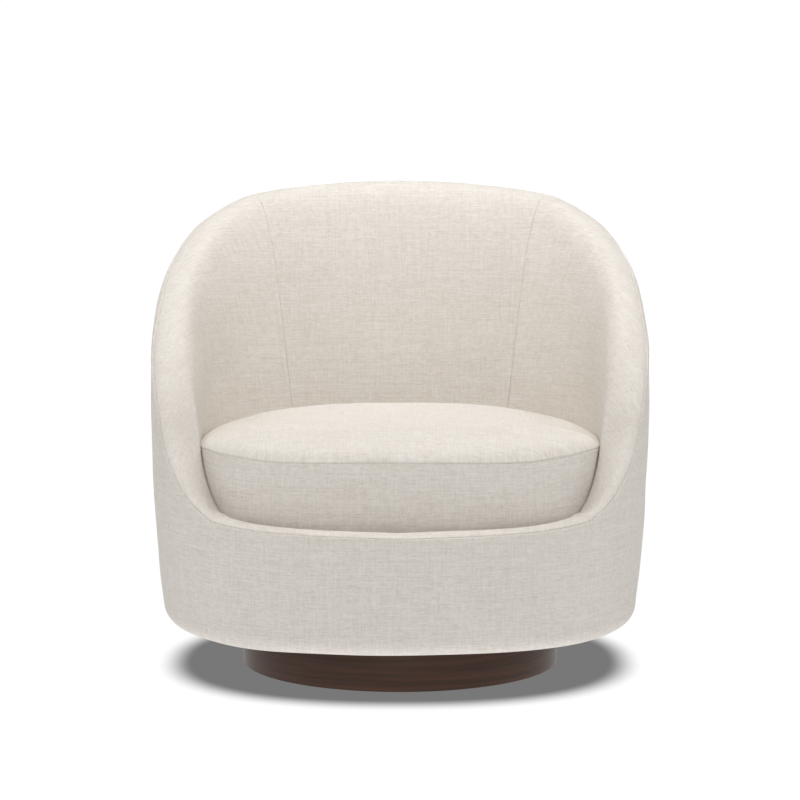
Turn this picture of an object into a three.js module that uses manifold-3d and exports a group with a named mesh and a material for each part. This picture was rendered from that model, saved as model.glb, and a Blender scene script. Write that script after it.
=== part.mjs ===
// Swivel barrel chair: an upholstered tub on a round plinth, with a loose boxed seat cushion.
// Millimetres, +Z up. The origin is on the floor, on the swivel axis. The chair faces -Y.
// A turn is an angle in degrees about the swivel axis: 0 is +X, 90 is the middle of the back
// and -90 is the middle of the front.

import * as THREE from 'three';
import Module from 'manifold-3d';
import { mergeVertices } from 'three/addons/utils/BufferGeometryUtils.js';

const wasm = await Module();
wasm.setup();

// Clearance that touching pieces keep
const clearance = 0.3;
// Clearance of the wooden frame behind the curved panels, which are divided differently
const frameClearance = 0.7;

// The frame's top edges stay this far under the foam that hooks over them
const topClearance = 1.5;

// Outer shape of the tub: a rounded square in plan, widest at mid height
const shellHalfWidth = 399;
const shellHalfDepth = 398;
const shellPlanPower = 2.5;
const shellBottomHeight = 79;
const widestHeight = 418;
const lowerDrawInShare = 0.0543;
const upperDrawInShare = 0.02;
const lowerEdgeRadius = 32;
const hemWidth = 26;

// Rim of the tub: the height where the roll starts, low in front and high behind
const frontRimHeight = 259;
const backRimHeight = 737;
const cornerTurn = -46.4;
const backSeamTurn = 51;
const rimRiseShares = [
  [-90, 0], [-60, 0.013], [cornerTurn, 0.031], [-40.3, 0.077], [-33.5, 0.157], [-29.2, 0.225],
  [-25.6, 0.311], [-22.5, 0.371], [-16, 0.465], [-10, 0.528], [-2, 0.589], [5, 0.643],
  [20, 0.769], [35, 0.885], [50, 0.96], [65, 0.985], [78, 0.998], [90, 1],
];
const frontRollRise = 9;
const cornerRollRise = 11;
const slopeRollRise = 20;
const armRollRise = 30;
const backRollRise = 32;
const rollRises = [
  [-90, frontRollRise], [-60, frontRollRise], [cornerTurn, cornerRollRise], [-30, slopeRollRise],
  [0, armRollRise], [90, backRollRise],
];
const rollPower = 2.15;
// Where the seam lies on the roll: 0 is the outer wall and 90 the top
const seamOnRoll = [[-90, 20], [-24, 20], [6, 45], [90, 45]];

// Seat well, which the cushion fits: as wide and deep as the arms, front and back leave it
const armWidth = 78.5;
const frontWidth = 49;
const backWidth = 201;
const wellHalfWidth = shellHalfWidth - armWidth;
const wellFrontDepth = shellHalfDepth - frontWidth;
const wellBackDepth = shellHalfDepth - backWidth;
const wellFrontPower = 3.2;
const wellBackPower = 2.6;
const deckHeight = 258;
// How far the well's wall leans out for each unit of height
const wallLeans = [
  [-90, 0], [-10, 0], [5, 0.008], [20, 0.04], [35, 0.12], [backSeamTurn, 0.18], [90, 0.186],
];

// Upholstery and frame
const coverThickness = 2;
const outerPanelThickness = 4;
const linerThickness = 3;
const cornerFoam = 10;
const armFoam = 22;
const backFoam = 34;
const foamDepths = [
  [-90, cornerFoam], [cornerTurn, cornerFoam], [0, armFoam], [backSeamTurn, backFoam],
  [90, backFoam],
];
const railHeight = 28;
const ledgerTopHeight = 236;
const ledgerHeight = 23;
const ledgerWidth = 25;

// Deck under the cushion
const springWire = 3.8;
const springGap = 150;
const springLoopWidth = 46;
const springLoops = 7;
const springEndInset = 9;
const springPlaces = [-1.5, -0.5, 0.5, 1.5];
// Along a loop's share of the wire, where it turns out to the side and back again
const loopStartShare = 0.7;
const loopEndShare = 1.2;
const loopEndAllowance = 0.4;
const clipStripWidth = 12;
const clipStripThickness = 1;
const backClipHalfTurn = 56.4;

// Loose cushion
const cushionClearance = 3;
const cushionSeamHeight = 371;
const cushionCrownHeight = 412;
const cushionSeamDrawIn = 5;
const cushionEdgeDrop = 5;
const bottomRingShare = 0.6;
// How quickly the boxing fills out from its seams, and how the crown falls towards its edge
const boxingFullness = 0.6;
const crownFlatness = 2.6;
const crownRoundness = 0.75;
const clothThickness = 1.5;
const zipLength = 360;
const zipHeight = 9;
const zipThickness = 0.8;
const pullLength = 22;
const pullWidth = 6;
const pullThickness = 1;
const zipHeightShare = 0.45;

// Plinth
const plinthRadius = 254;
const plinthTopHeight = 60;
const plinthBandThickness = 16;
const glideHeight = 2;
const glideRadius = 15;
const glideCircleRadius = 212;

// Swivel
const baseBoardThickness = 18;
const plateThickness = 3;
const plateInnerRadius = 38;
const plateOuterRadius = 172;
const raceRadius = 150;
const raceWidth = 11;
const ballRadius = 4;
const ballCount = 12;
const ballClearance = 0.15;
const retainerWidth = 9;
const retainerThickness = 1.2;
const dustCoverThickness = 1;
const dustCoverGap = 3;

// Screws and bolts
const screwCircleRadius = 120;
const screwRadius = 2.5;
const screwHeadRadius = 5.5;
const screwHeadHeight = 2.4;
const headTopShare = 0.8;
const screwLength = 24;
const boltRadius = 3;
const boltHeadRadius = 6.5;
const boltHeadHeight = 2.6;
const boltLength = 17;
const cutOverrun = 5;

// A point closer than this to the line between its neighbours lies on a straight stretch
const flatTolerance = 0.001;
// A slope under this share counts as level
const nearlyLevel = 0.25;
// An offset at a sharp bend reaches out no further than this share allows
const sharpestReach = 0.5;

// How finely the curved pieces are divided
const frontSteps = 8;
const sideSteps = 12;
const backSteps = 8;
const wallSteps = 4;
const edgeSteps = 3;
const rollSteps = 7;
const bandSides = 56;
const plateSides = 32;
const fixingSides = 8;
const backClipSteps = 14;
const boxingSteps = 5;
// How often the search for a spring's end halves its range of turns
const endHalvings = 24;
const crownShares = [0.97, 0.9, 0.77, 0.55, 0.3, 0];

const degrees = Math.PI / 180;

// Materials
const fabric = new THREE.MeshStandardMaterial({ color: 0xded7cd, roughness: 0.95 });
const walnut = new THREE.MeshStandardMaterial({ color: 0x41322b, roughness: 0.4 });
const plywood = new THREE.MeshStandardMaterial({ color: 0xc9a877, roughness: 0.7 });
const hardboard = new THREE.MeshStandardMaterial({ color: 0x8a6440, roughness: 0.8 });
const foam = new THREE.MeshStandardMaterial({ color: 0xe9dfb8, roughness: 1 });
const felt = new THREE.MeshStandardMaterial({ color: 0x9b968c, roughness: 1 });
const steel = new THREE.MeshStandardMaterial({ color: 0x9da0a3, roughness: 0.35, metalness: 1 });
const plastic = new THREE.MeshStandardMaterial({ color: 0x2c2a28, roughness: 0.6 });
const dustCloth = new THREE.MeshStandardMaterial({ color: 0x1d1d1f, roughness: 0.95 });

const chair = new THREE.Group();

function addPiece(name, geometry, material) {
  const mesh = new THREE.Mesh(geometry, material);
  mesh.name = name;
  chair.add(mesh);
  return mesh;
}

// A smooth curve through a table of [turn, value] pairs that never overshoots them
function smoothTable(table, turn) {
  const last = table.length - 1;
  if (turn <= table[0][0]) return table[0][1];
  if (turn >= table[last][0]) return table[last][1];
  const slope = (i) => (table[i + 1][1] - table[i][1]) / (table[i + 1][0] - table[i][0]);
  const tangent = (i) => {
    if (i === 0 || i === last) return i === 0 ? slope(0) : slope(last - 1);
    const before = slope(i - 1);
    const after = slope(i);
    return before * after <= 0 ? 0 : (2 * before * after) / (before + after);
  };
  const i = table.findIndex((row, k) => k < last && turn <= table[k + 1][0]);
  const width = table[i + 1][0] - table[i][0];
  const t = (turn - table[i][0]) / width;
  const start = table[i][1];
  const rise = table[i + 1][1] - start;
  const startSlope = tangent(i) * width;
  const endSlope = tangent(i + 1) * width;
  return start + t * (startSlope + t * (3 * rise - 2 * startSlope - endSlope
    + t * (startSlope + endSlope - 2 * rise)));
}

// Both halves of the chair are alike, so a turn is folded onto the right-hand half
function foldTurn(turn) {
  let folded = ((turn + 180) % 360 + 360) % 360 - 180;
  if (folded > 90) folded = 180 - folded;
  if (folded < -90) folded = -180 - folded;
  return folded;
}

const fromTable = (table, turn) => smoothTable(table, foldTurn(turn));

// Radius of a rounded square in plan
function planRadius(turn, halfWidth, halfDepth, power) {
  const across = Math.abs(Math.cos(turn * degrees)) / halfWidth;
  const along = Math.abs(Math.sin(turn * degrees)) / halfDepth;
  return (across ** power + along ** power) ** (-1 / power);
}

// Share of the plan radius that the outer wall has at a height
function drawIn(height) {
  const below = Math.max(0, widestHeight - height) / (widestHeight - shellBottomHeight);
  const above = Math.max(0, height - widestHeight) / (backRimHeight + backRollRise - widestHeight);
  return 1 - lowerDrawInShare * below ** 2 - upperDrawInShare * above ** 2;
}

// The back is a little shallower in plan, as the front is where it is widest under its low rim
const shellBackDepth = shellHalfDepth * drawIn(frontRimHeight);

function outerRadius(turn, height) {
  const halfDepth = foldTurn(turn) < 0 ? shellHalfDepth : shellBackDepth;
  return planRadius(turn, shellHalfWidth, halfDepth, shellPlanPower) * drawIn(height);
}

function rimHeight(turn) {
  return frontRimHeight + (backRimHeight - frontRimHeight) * fromTable(rimRiseShares, turn);
}

// Radius of the wall round the seat well, which leans out with height
function wellRadius(turn, height) {
  const front = foldTurn(turn) < 0;
  const floorRadius = planRadius(turn, wellHalfWidth, front ? wellFrontDepth : wellBackDepth,
    front ? wellFrontPower : wellBackPower);
  return floorRadius + fromTable(wallLeans, turn) * (height - deckHeight);
}

// Point on the roll: angle 0 is on the outer wall, 90 on top and 180 on the well's wall
function rollPoint(turn, angle) {
  const rim = rimHeight(turn);
  const outer = outerRadius(turn, rim);
  const inner = wellRadius(turn, rim);
  const cosine = Math.cos(angle * degrees);
  const across = Math.sign(cosine) * Math.abs(cosine) ** (2 / rollPower);
  const rise = fromTable(rollRises, turn) * Math.max(0, Math.sin(angle * degrees)) ** (2 / rollPower);
  const shear = cosine < 0 ? fromTable(wallLeans, turn) * rise * cosine ** 2 : 0;
  return [(outer + inner) / 2 + across * (outer - inner) / 2 + shear, rim + rise];
}

const edgeTopHeight = shellBottomHeight + lowerEdgeRadius;

function range(from, to, steps) {
  return Array.from({ length: steps + 1 }, (_, i) => from + (to - from) * i / steps);
}

// Heights at which the outer wall bends
const wallHeights = (turn) => range(edgeTopHeight, rimHeight(turn), wallSteps);

// The outer wall as it is built, in straight stretches between those heights
function builtOuterRadius(turn, height) {
  const heights = wallHeights(turn);
  const step = (heights[1] - heights[0]);
  const i = Math.min(wallSteps - 1, Math.max(0, Math.floor((height - heights[0]) / step)));
  const low = outerRadius(turn, heights[i]);
  const high = outerRadius(turn, heights[i + 1]);
  return low + (high - low) * (height - heights[i]) / step;
}

// Outer skin from the hem under the tub to the seam on the roll
function outerSkin(turn) {
  const edgeRadius = outerRadius(turn, edgeTopHeight);
  const points = [[edgeRadius - lowerEdgeRadius - hemWidth, shellBottomHeight]];
  for (const angle of range(0, 90, edgeSteps)) {
    points.push([
      edgeRadius - lowerEdgeRadius * (1 - Math.sin(angle * degrees)),
      edgeTopHeight - lowerEdgeRadius * Math.cos(angle * degrees),
    ]);
  }
  for (const height of wallHeights(turn).slice(1)) points.push([outerRadius(turn, height), height]);
  const seam = fromTable(seamOnRoll, turn);
  points.push(rollPoint(turn, seam / 2), rollPoint(turn, seam));
  return points;
}

const coverFoot = ledgerTopHeight + clearance;

// Height at which the well's wall bends: level with the underside of the rail where there is room
function wellBendHeight(turn) {
  const rim = rimHeight(turn);
  return Math.max(rim - railHeight - topClearance, (rim + coverFoot) / 2);
}

// Whole skin from the hem up the outer wall, over the roll and down the well's wall
function tubSkin(turn) {
  const roll = range(fromTable(seamOnRoll, turn), 180, rollSteps).map((angle) => rollPoint(turn, angle));
  const wall = [wellBendHeight(turn), coverFoot].map((height) => [wellRadius(turn, height), height]);
  return [...outerSkin(turn), ...roll.slice(1), ...wall];
}

// Places of points on that skin
const rimPlace = 1 + edgeSteps + wallSteps;
const seamPlace = rimPlace + 2;
const rollEndPlace = seamPlace + rollSteps;
const footPlace = rollEndPlace + 2;

// Moves a line of [radius, height] points to its left, which is into the upholstery. An end that
// is nearly upright or level keeps its height or its radius.
function offsetLine(points, distance) {
  return points.map((point, i) => {
    const before = points[Math.max(0, i - 1)];
    const after = points[Math.min(points.length - 1, i + 1)];
    const first = new THREE.Vector2(point[0] - before[0], point[1] - before[1]).normalize();
    const second = new THREE.Vector2(after[0] - point[0], after[1] - point[1]).normalize();
    const normal = new THREE.Vector2(-first.y - second.y, first.x + second.x).normalize();
    if (i === 0 || i === points.length - 1) {
      if (Math.abs(normal.y) < nearlyLevel) return [point[0] + distance / normal.x, point[1]];
      if (Math.abs(normal.x) < nearlyLevel) return [point[0], point[1] + distance / normal.y];
    }
    const side = first.lengthSq() > 0 ? first : second;
    const reach = distance / Math.max(sharpestReach, side.x * normal.y - side.y * normal.x);
    return [point[0] + normal.x * reach, point[1] + normal.y * reach];
  });
}

// Draws back an end of a line, so that it keeps its clearance to what it is sewn to
function drawBackEnds(points, atStart, atEnd) {
  const moved = points.map((point) => [...point]);
  const pull = (end, next, distance) => {
    const share = distance / Math.hypot(next[0] - end[0], next[1] - end[1]);
    return [end[0] + (next[0] - end[0]) * share, end[1] + (next[1] - end[1]) * share];
  };
  const last = points.length - 1;
  if (atStart) moved[0] = pull(points[0], points[1], atStart);
  if (atEnd) moved[last] = pull(points[last], points[last - 1], atEnd);
  return moved;
}

// A cloth as a closed section: one stretch of a skin and of its lining, drawn back where it is sewn
function clothSection(skin, first, last, thickness) {
  const startGap = first > 0 ? clearance / 2 : 0;
  const endGap = last < skin.length - 1 ? clearance / 2 : 0;
  const face = drawBackEnds(skin.slice(first, last + 1), startGap, endGap);
  const lining = drawBackEnds(offsetLine(skin, thickness).slice(first, last + 1), startGap, endGap);
  return [...face, ...lining.reverse()];
}

function signedArea(section) {
  return section.reduce((sum, [r, z], i) => {
    const [nextR, nextZ] = section[(i + 1) % section.length];
    return sum + r * nextZ - nextR * z;
  }, 0) / 2;
}

// Welds a triangle list into one closed mesh and drops triangles without an area
function weld(positions) {
  const geometry = new THREE.BufferGeometry();
  geometry.setAttribute('position', new THREE.Float32BufferAttribute(positions, 3));
  const merged = mergeVertices(geometry, 1e-3);
  const index = merged.index.array;
  const kept = [];
  for (let i = 0; i < index.length; i += 3) {
    const [a, b, c] = [index[i], index[i + 1], index[i + 2]];
    if (a !== b && b !== c && c !== a) kept.push(a, b, c);
  }
  merged.setIndex(kept);
  merged.computeVertexNormals();
  return merged;
}

function placed([radius, height], turn) {
  return [radius * Math.cos(turn * degrees), radius * Math.sin(turn * degrees), height];
}

// Outline of a cap. A point on a straight stretch moves in by a hair, so that no triangle skips it.
function capContour(section) {
  const count = section.length;
  return section.map((point, i) => {
    const before = section[(i + count - 1) % count];
    const after = section[(i + 1) % count];
    const along = new THREE.Vector2(after[0] - before[0], after[1] - before[1]);
    const height = 2 * Math.abs(signedArea([before, point, after])) / along.length();
    const inwards = height < flatTolerance ? flatTolerance : 0;
    along.normalize();
    return new THREE.Vector2(point[0] - along.y * inwards, point[1] + along.x * inwards);
  });
}

// Orders two points of a section by height and then by radius. Each face is split from its lower
// point on the right-hand half and mirrored on the left, so neighbours are split alike.
function isLower(one, other) {
  if (Math.abs(one[1] - other[1]) > flatTolerance) return one[1] < other[1];
  return one[0] < other[0];
}

// Sweeps a section round the axis. It may change with the turn, but not its number of points.
function sweep(turns, sectionAt, closed = false) {
  const sections = turns.map((turn) => {
    const section = sectionAt(turn);
    return signedArea(section) < 0 ? section.reverse() : section;
  });
  const count = sections[0].length;
  const positions = [];
  const triangle = (...corners) => corners.forEach(([k, i]) => {
    positions.push(...placed(sections[k][i], turns[k]));
  });
  const steps = closed ? turns.length : turns.length - 1;
  for (let k = 0; k < steps; k += 1) {
    const next = (k + 1) % turns.length;
    for (let i = 0; i < count; i += 1) {
      const j = (i + 1) % count;
      const onLeft = Math.cos(turns[k] * degrees) + Math.cos(turns[next] * degrees) < 0;
      if (isLower(sections[k][i], sections[k][j]) !== onLeft) {
        triangle([k, i], [next, i], [next, j]);
        triangle([k, i], [next, j], [k, j]);
      } else {
        triangle([k, i], [next, i], [k, j]);
        triangle([next, i], [next, j], [k, j]);
      }
    }
  }
  if (!closed) {
    for (const k of [0, turns.length - 1]) {
      const faces = THREE.ShapeUtils.triangulateShape(capContour(sections[k]), []);
      for (const [a, b, c] of faces) {
        const inOrder = signedArea([a, b, c].map((i) => sections[k][i])) > 0 === (k === 0);
        triangle([k, a], [k, inOrder ? b : c], [k, inOrder ? c : b]);
      }
    }
  }
  return weld(positions);
}

// Turns at which every swept piece bends, so that neighbours lie flat on each other
const rightTurns = range(cornerTurn, backSeamTurn, sideSteps);
const leftTurns = rightTurns.map((turn) => 180 - turn).reverse();
const backTurns = range(backSeamTurn, 180 - backSeamTurn, backSteps);
const frontTurns = range(-180 - cornerTurn, cornerTurn, frontSteps);
const allTurns = [
  ...rightTurns, ...backTurns.slice(1, -1), ...leftTurns,
  ...frontTurns.slice(1, -1).map((turn) => turn + 360),
];

// A stretch of turns with its ends drawn back for the seam
function seamed(turns) {
  const gap = clearance / 2 / shellHalfWidth / degrees;
  const last = turns.length - 1;
  return turns.map((turn, i) => (i === 0 ? turn + gap : i === last ? turn - gap : turn));
}

// One step of the side, as wide as a post. It takes its left-hand copy too.
const postTurns = (side, step) => {
  const turns = [rightTurns[step], rightTurns[step + 1]];
  return side === 'right' ? turns : turns.map((turn) => 180 - turn).reverse();
};

// Covers
const outerCoverSection = (turn) => clothSection(tubSkin(turn), 0, seamPlace, coverThickness);
const innerCoverSection = (turn) => clothSection(tubSkin(turn), seamPlace, footPlace, coverThickness);

// Radii of the layers behind the outer cover and behind the cover of the well
const panelOuter = (turn, height) => builtOuterRadius(turn, height) - coverThickness - clearance;
const frameOuter = (turn, height) => panelOuter(turn, height) - outerPanelThickness - frameClearance;
const foamInner = (turn, height) => wellRadius(turn, height) + coverThickness + clearance;
const foamDepth = (turn) => fromTable(foamDepths, turn);
const linerInner = (turn, height) => foamInner(turn, height) + foamDepth(turn) + clearance;
const frameInner = (turn, height) => linerInner(turn, height) + linerThickness + frameClearance;

// The upholstery's lining over the roll, which starts level with the rim
function foamSkin(turn) {
  const skin = offsetLine(tubSkin(turn), coverThickness + clearance).slice(rimPlace);
  skin[0][1] = rimHeight(turn);
  return skin;
}

// Foam that hooks over the rim of the frame and lines the well
function hookedFoamSection(turn) {
  const heights = [coverFoot, wellBendHeight(turn), rimHeight(turn)];
  return [...foamSkin(turn), ...heights.map((height) => [foamInner(turn, height) + foamDepth(turn), height])];
}

// Foam that only caps the front rail: the part of the roll above the rim
function capFoamSection(turn) {
  const cap = foamSkin(turn).slice(0, rollSteps + 2);
  cap.push([foamInner(turn, rimHeight(turn)), rimHeight(turn)]);
  return cap;
}

function panelSection(turn) {
  const top = rimHeight(turn) - topClearance;
  const heights = wallHeights(turn).map((height) => Math.min(height, top));
  return [
    ...heights.map((height) => [panelOuter(turn, height), height]),
    ...heights.reverse().map((height) => [panelOuter(turn, height) - outerPanelThickness, height]),
  ];
}

function linerSection(turn) {
  const heights = [coverFoot, wellBendHeight(turn), rimHeight(turn) - topClearance];
  return [
    ...heights.map((height) => [linerInner(turn, height) + linerThickness, height]),
    ...heights.reverse().map((height) => [linerInner(turn, height), height]),
  ];
}

function railSection(turn) {
  const top = rimHeight(turn) - topClearance;
  const bottom = top - railHeight;
  return [
    [frameInner(turn, bottom), bottom], [frameOuter(turn, bottom), bottom],
    [frameOuter(turn, top), top], [frameInner(turn, top), top],
  ];
}

// The base board and what stands on it
const baseBoardBottom = shellBottomHeight + coverThickness + clearance;
const baseBoardTop = baseBoardBottom + baseBoardThickness;
const frameFoot = baseBoardTop + clearance;

// Radius of the line that a height has just inside the cover's rounded lower edge
const edgeLine = (turn) => offsetLine(outerSkin(turn), coverThickness + clearance).slice(1, edgeSteps + 2);

// Radius of a rising line of [radius, height] points at a height
function radiusOn(line, height) {
  const i = line.findIndex((point, k) => k < line.length - 1 && height <= line[k + 1][1]);
  const [low, high] = [line[i], line[i + 1]];
  return low[0] + (high[0] - low[0]) * (height - low[1]) / (high[1] - low[1]);
}

const edgeLineRadius = (turn, height) => radiusOn(edgeLine(turn), height);

// The base board is rounded over to the cover's lower edge
function baseBoardSection(turn) {
  const edge = edgeLine(turn).slice(0, edgeSteps);
  const top = [edgeLineRadius(turn, baseBoardTop), baseBoardTop];
  return [[0, baseBoardBottom], ...edge, top, [0, baseBoardTop]];
}

// A post between the base board and the rail, square-cut where the wall leans above the ledger
function postSection(turn) {
  const top = rimHeight(turn) - topClearance - railHeight - clearance;
  const bends = wallHeights(turn).slice(0, wallSteps).map((height) => Math.min(height, top - clearance));
  const heights = [frameFoot, ...bends, top];
  const knee = Math.min(ledgerTopHeight, top - clearance);
  return [
    ...heights.map((height) => [frameOuter(turn, height), height]),
    [frameInner(turn, top), top], [frameInner(turn, knee), knee], [frameInner(turn, knee), frameFoot],
  ];
}

function frontRailSection(turn) {
  const top = rimHeight(turn) - clearance;
  const bends = wallHeights(turn).slice(0, wallSteps);
  return [
    [edgeLineRadius(turn, frameFoot), frameFoot],
    ...[...bends, top].map((height) => [panelOuter(turn, height), height]),
    [foamInner(turn, top), top], [foamInner(turn, frameFoot), frameFoot],
  ];
}

// An upright rectangle between two radii and two heights
const rectangle = (inner, outer, bottom, top) => [
  [inner, bottom], [outer, bottom], [outer, top], [inner, top],
];

// The front ledger is fixed to the front rail and the others to the posts
function ledgerSection(turn) {
  const backing = foldTurn(turn) <= cornerTurn + clearance ? foamInner : frameInner;
  const inner = wellRadius(turn, ledgerTopHeight) - ledgerWidth;
  const outer = backing(turn, ledgerTopHeight) - clearance;
  return rectangle(inner, outer, ledgerTopHeight - ledgerHeight, ledgerTopHeight);
}

const springTop = ledgerTopHeight + clearance + springWire;
const clipStripBottom = springTop + clearance;
const padBottomHeight = clipStripBottom + clipStripThickness + clearance;

function clipStripSection(turn) {
  const outer = wellRadius(turn, ledgerTopHeight) - springEndInset;
  const top = clipStripBottom + clipStripThickness;
  return rectangle(outer - clipStripWidth, outer, clipStripBottom, top);
}

function deckPadSection(turn) {
  const radius = wellRadius(turn, padBottomHeight) - clearance;
  return rectangle(0, radius, padBottomHeight, deckHeight - clearance);
}

// Solids that need a hole go through the boolean library and back
function toSolid(geometry) {
  const bare = geometry.clone();
  bare.deleteAttribute('normal');
  bare.deleteAttribute('uv');
  const merged = mergeVertices(bare, 1e-3);
  return new wasm.Manifold(new wasm.Mesh({
    numProp: 3,
    vertProperties: new Float32Array(merged.attributes.position.array),
    triVerts: new Uint32Array(merged.index.array),
  }));
}

function toGeometry(solid) {
  const mesh = solid.getMesh();
  const geometry = new THREE.BufferGeometry();
  geometry.setAttribute('position', new THREE.BufferAttribute(mesh.vertProperties, 3));
  geometry.setIndex(new THREE.BufferAttribute(mesh.triVerts, 1));
  return geometry;
}

function uprightCylinder(radius, bottom, top, x, y, sides = fixingSides) {
  const geometry = new THREE.CylinderGeometry(radius, radius, top - bottom, sides);
  geometry.rotateX(90 * degrees);
  geometry.translate(x, y, (bottom + top) / 2);
  return geometry;
}

function withHoles(geometry, holes) {
  const cut = holes.reduce((solid, hole) => solid.subtract(toSolid(hole)), toSolid(geometry));
  return toGeometry(cut);
}

// A turned ring or disc from a closed profile of [radius, height] points
function turned(profile, sides) {
  const turns = range(0, 360, sides).slice(0, -1);
  return sweep(turns, () => profile.map((point) => [...point]), true);
}

// Four fixings stand in a square round the swivel axis
const fixingPlaces = (radius, firstTurn) => [0, 1, 2, 3].map((i) => {
  const turn = (firstTurn + i * 90) * degrees;
  return [radius * Math.cos(turn), radius * Math.sin(turn)];
});
const screwPlaces = fixingPlaces(screwCircleRadius, 45);
const boltPlaces = fixingPlaces(screwCircleRadius, 0);
const glidePlaces = fixingPlaces(glideCircleRadius, 45);

// Plinth on its glides
function buildPlinth() {
  const bottom = glideHeight + clearance;
  const bandInner = plinthRadius - plinthBandThickness;
  const band = rectangle(bandInner, plinthRadius, bottom, plinthTopHeight);
  addPiece('plinth_band', turned(band, bandSides), walnut);
  const core = rectangle(0, bandInner - clearance, bottom, plinthTopHeight);
  const screwTip = plinthTopHeight + clearance + plateThickness + clearance - screwLength;
  const holes = screwPlaces.map(([x, y]) => uprightCylinder(
    screwRadius + clearance, screwTip - clearance, plinthTopHeight + cutOverrun, x, y));
  addPiece('plinth_core', withHoles(turned(core, bandSides), holes), plywood);
  glidePlaces.forEach(([x, y], i) => {
    addPiece(`glide_${i + 1}`, uprightCylinder(glideRadius, 0, glideHeight, x, y, 2 * fixingSides), plastic);
  });
}

const lowerPlateBottom = plinthTopHeight + clearance;
const lowerPlateTop = lowerPlateBottom + plateThickness;
const upperPlateTop = baseBoardBottom - clearance;
const upperPlateBottom = upperPlateTop - plateThickness;
const ballHeight = (lowerPlateTop + upperPlateBottom) / 2;

// A plate with the raised race that the balls run on
function racePlate(plateBottom, plateTop, raceEnd) {
  const inner = raceRadius - raceWidth / 2;
  const outer = raceRadius + raceWidth / 2;
  const [bottomInner, bottomOuter, topOuter, topInner] = rectangle(
    plateInnerRadius, plateOuterRadius, plateBottom, plateTop);
  const raised = [[outer, plateTop], [outer, raceEnd], [inner, raceEnd], [inner, plateTop]];
  const lowered = [[inner, plateBottom], [inner, raceEnd], [outer, raceEnd], [outer, plateBottom]];
  return turned(raceEnd > plateTop
    ? [bottomInner, bottomOuter, topOuter, ...raised, topInner]
    : [bottomInner, ...lowered, bottomOuter, topOuter, topInner], plateSides);
}

function buildSwivel() {
  const screwHoles = screwPlaces.map(([x, y]) => uprightCylinder(
    screwRadius + clearance, lowerPlateBottom - cutOverrun, lowerPlateTop + cutOverrun, x, y));
  const lowerRaceTop = ballHeight - ballRadius - ballClearance;
  const lowerPlate = racePlate(lowerPlateBottom, lowerPlateTop, lowerRaceTop);
  addPiece('swivel_lower_plate', withHoles(lowerPlate, screwHoles), steel);
  const boltHoles = boltPlaces.map(([x, y]) => uprightCylinder(
    boltRadius + clearance, upperPlateBottom - cutOverrun, upperPlateTop + cutOverrun, x, y));
  const upperRaceBottom = ballHeight + ballRadius + ballClearance;
  const upperPlate = racePlate(upperPlateBottom, upperPlateTop, upperRaceBottom);
  addPiece('swivel_upper_plate', withHoles(upperPlate, boltHoles), steel);

  const half = retainerThickness / 2;
  const retainer = rectangle(raceRadius - retainerWidth / 2, raceRadius + retainerWidth / 2,
    ballHeight - half, ballHeight + half);
  let cage = toSolid(turned(retainer, plateSides));
  for (let i = 0; i < ballCount; i += 1) {
    const turn = (i + 0.5) * 360 / ballCount;
    const ball = new THREE.SphereGeometry(ballRadius, fixingSides, fixingSides / 2);
    ball.rotateX(90 * degrees);
    ball.rotateZ(turn * degrees);
    ball.translate(...placed([raceRadius, ballHeight], turn));
    cage = cage.add(toSolid(ball));
  }
  addPiece('ball_cage', toGeometry(cage), steel);
}

// A screw or bolt: a domed head on a shank, with the head below or above
function fixing(radius, length, headRadius, headHeight, headSide) {
  const headTop = headSide * headHeight;
  const profile = [[0, -headSide * length], [radius, -headSide * length], [radius, 0], [headRadius, 0],
    [headRadius * headTopShare, headTop], [0, headTop]];
  return turned(profile, fixingSides);
}

function buildFixings() {
  const screwSeat = lowerPlateTop + clearance;
  screwPlaces.forEach(([x, y], i) => {
    const screw = addPiece(`plinth_screw_${i + 1}`,
      fixing(screwRadius, screwLength - clearance, screwHeadRadius, screwHeadHeight, 1), steel);
    screw.position.set(x, y, screwSeat);
  });
  const boltSeat = upperPlateBottom - clearance;
  boltPlaces.forEach(([x, y], i) => {
    const bolt = addPiece(`seat_bolt_${i + 1}`,
      fixing(boltRadius, boltLength, boltHeadRadius, boltHeadHeight, -1), steel);
    bolt.position.set(x, y, boltSeat);
  });
}

const hemInnerRadius = (turn) => outerRadius(turn, edgeTopHeight) - lowerEdgeRadius - hemWidth;

function buildBase() {
  const board = sweep(allTurns, baseBoardSection, true);
  const boltTip = upperPlateBottom - clearance + boltLength;
  const holes = boltPlaces.map(([x, y]) => uprightCylinder(
    boltRadius + clearance, baseBoardBottom - cutOverrun, boltTip + clearance, x, y));
  addPiece('base_board', withHoles(board, holes), plywood);
  const clothTop = baseBoardBottom - clearance;
  addPiece('dust_cover', sweep(allTurns, (turn) => {
    const outer = hemInnerRadius(turn) - clearance;
    const inner = plateOuterRadius + dustCoverGap;
    return rectangle(inner, outer, clothTop - dustCoverThickness, clothTop);
  }, true), dustCloth);
}

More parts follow.
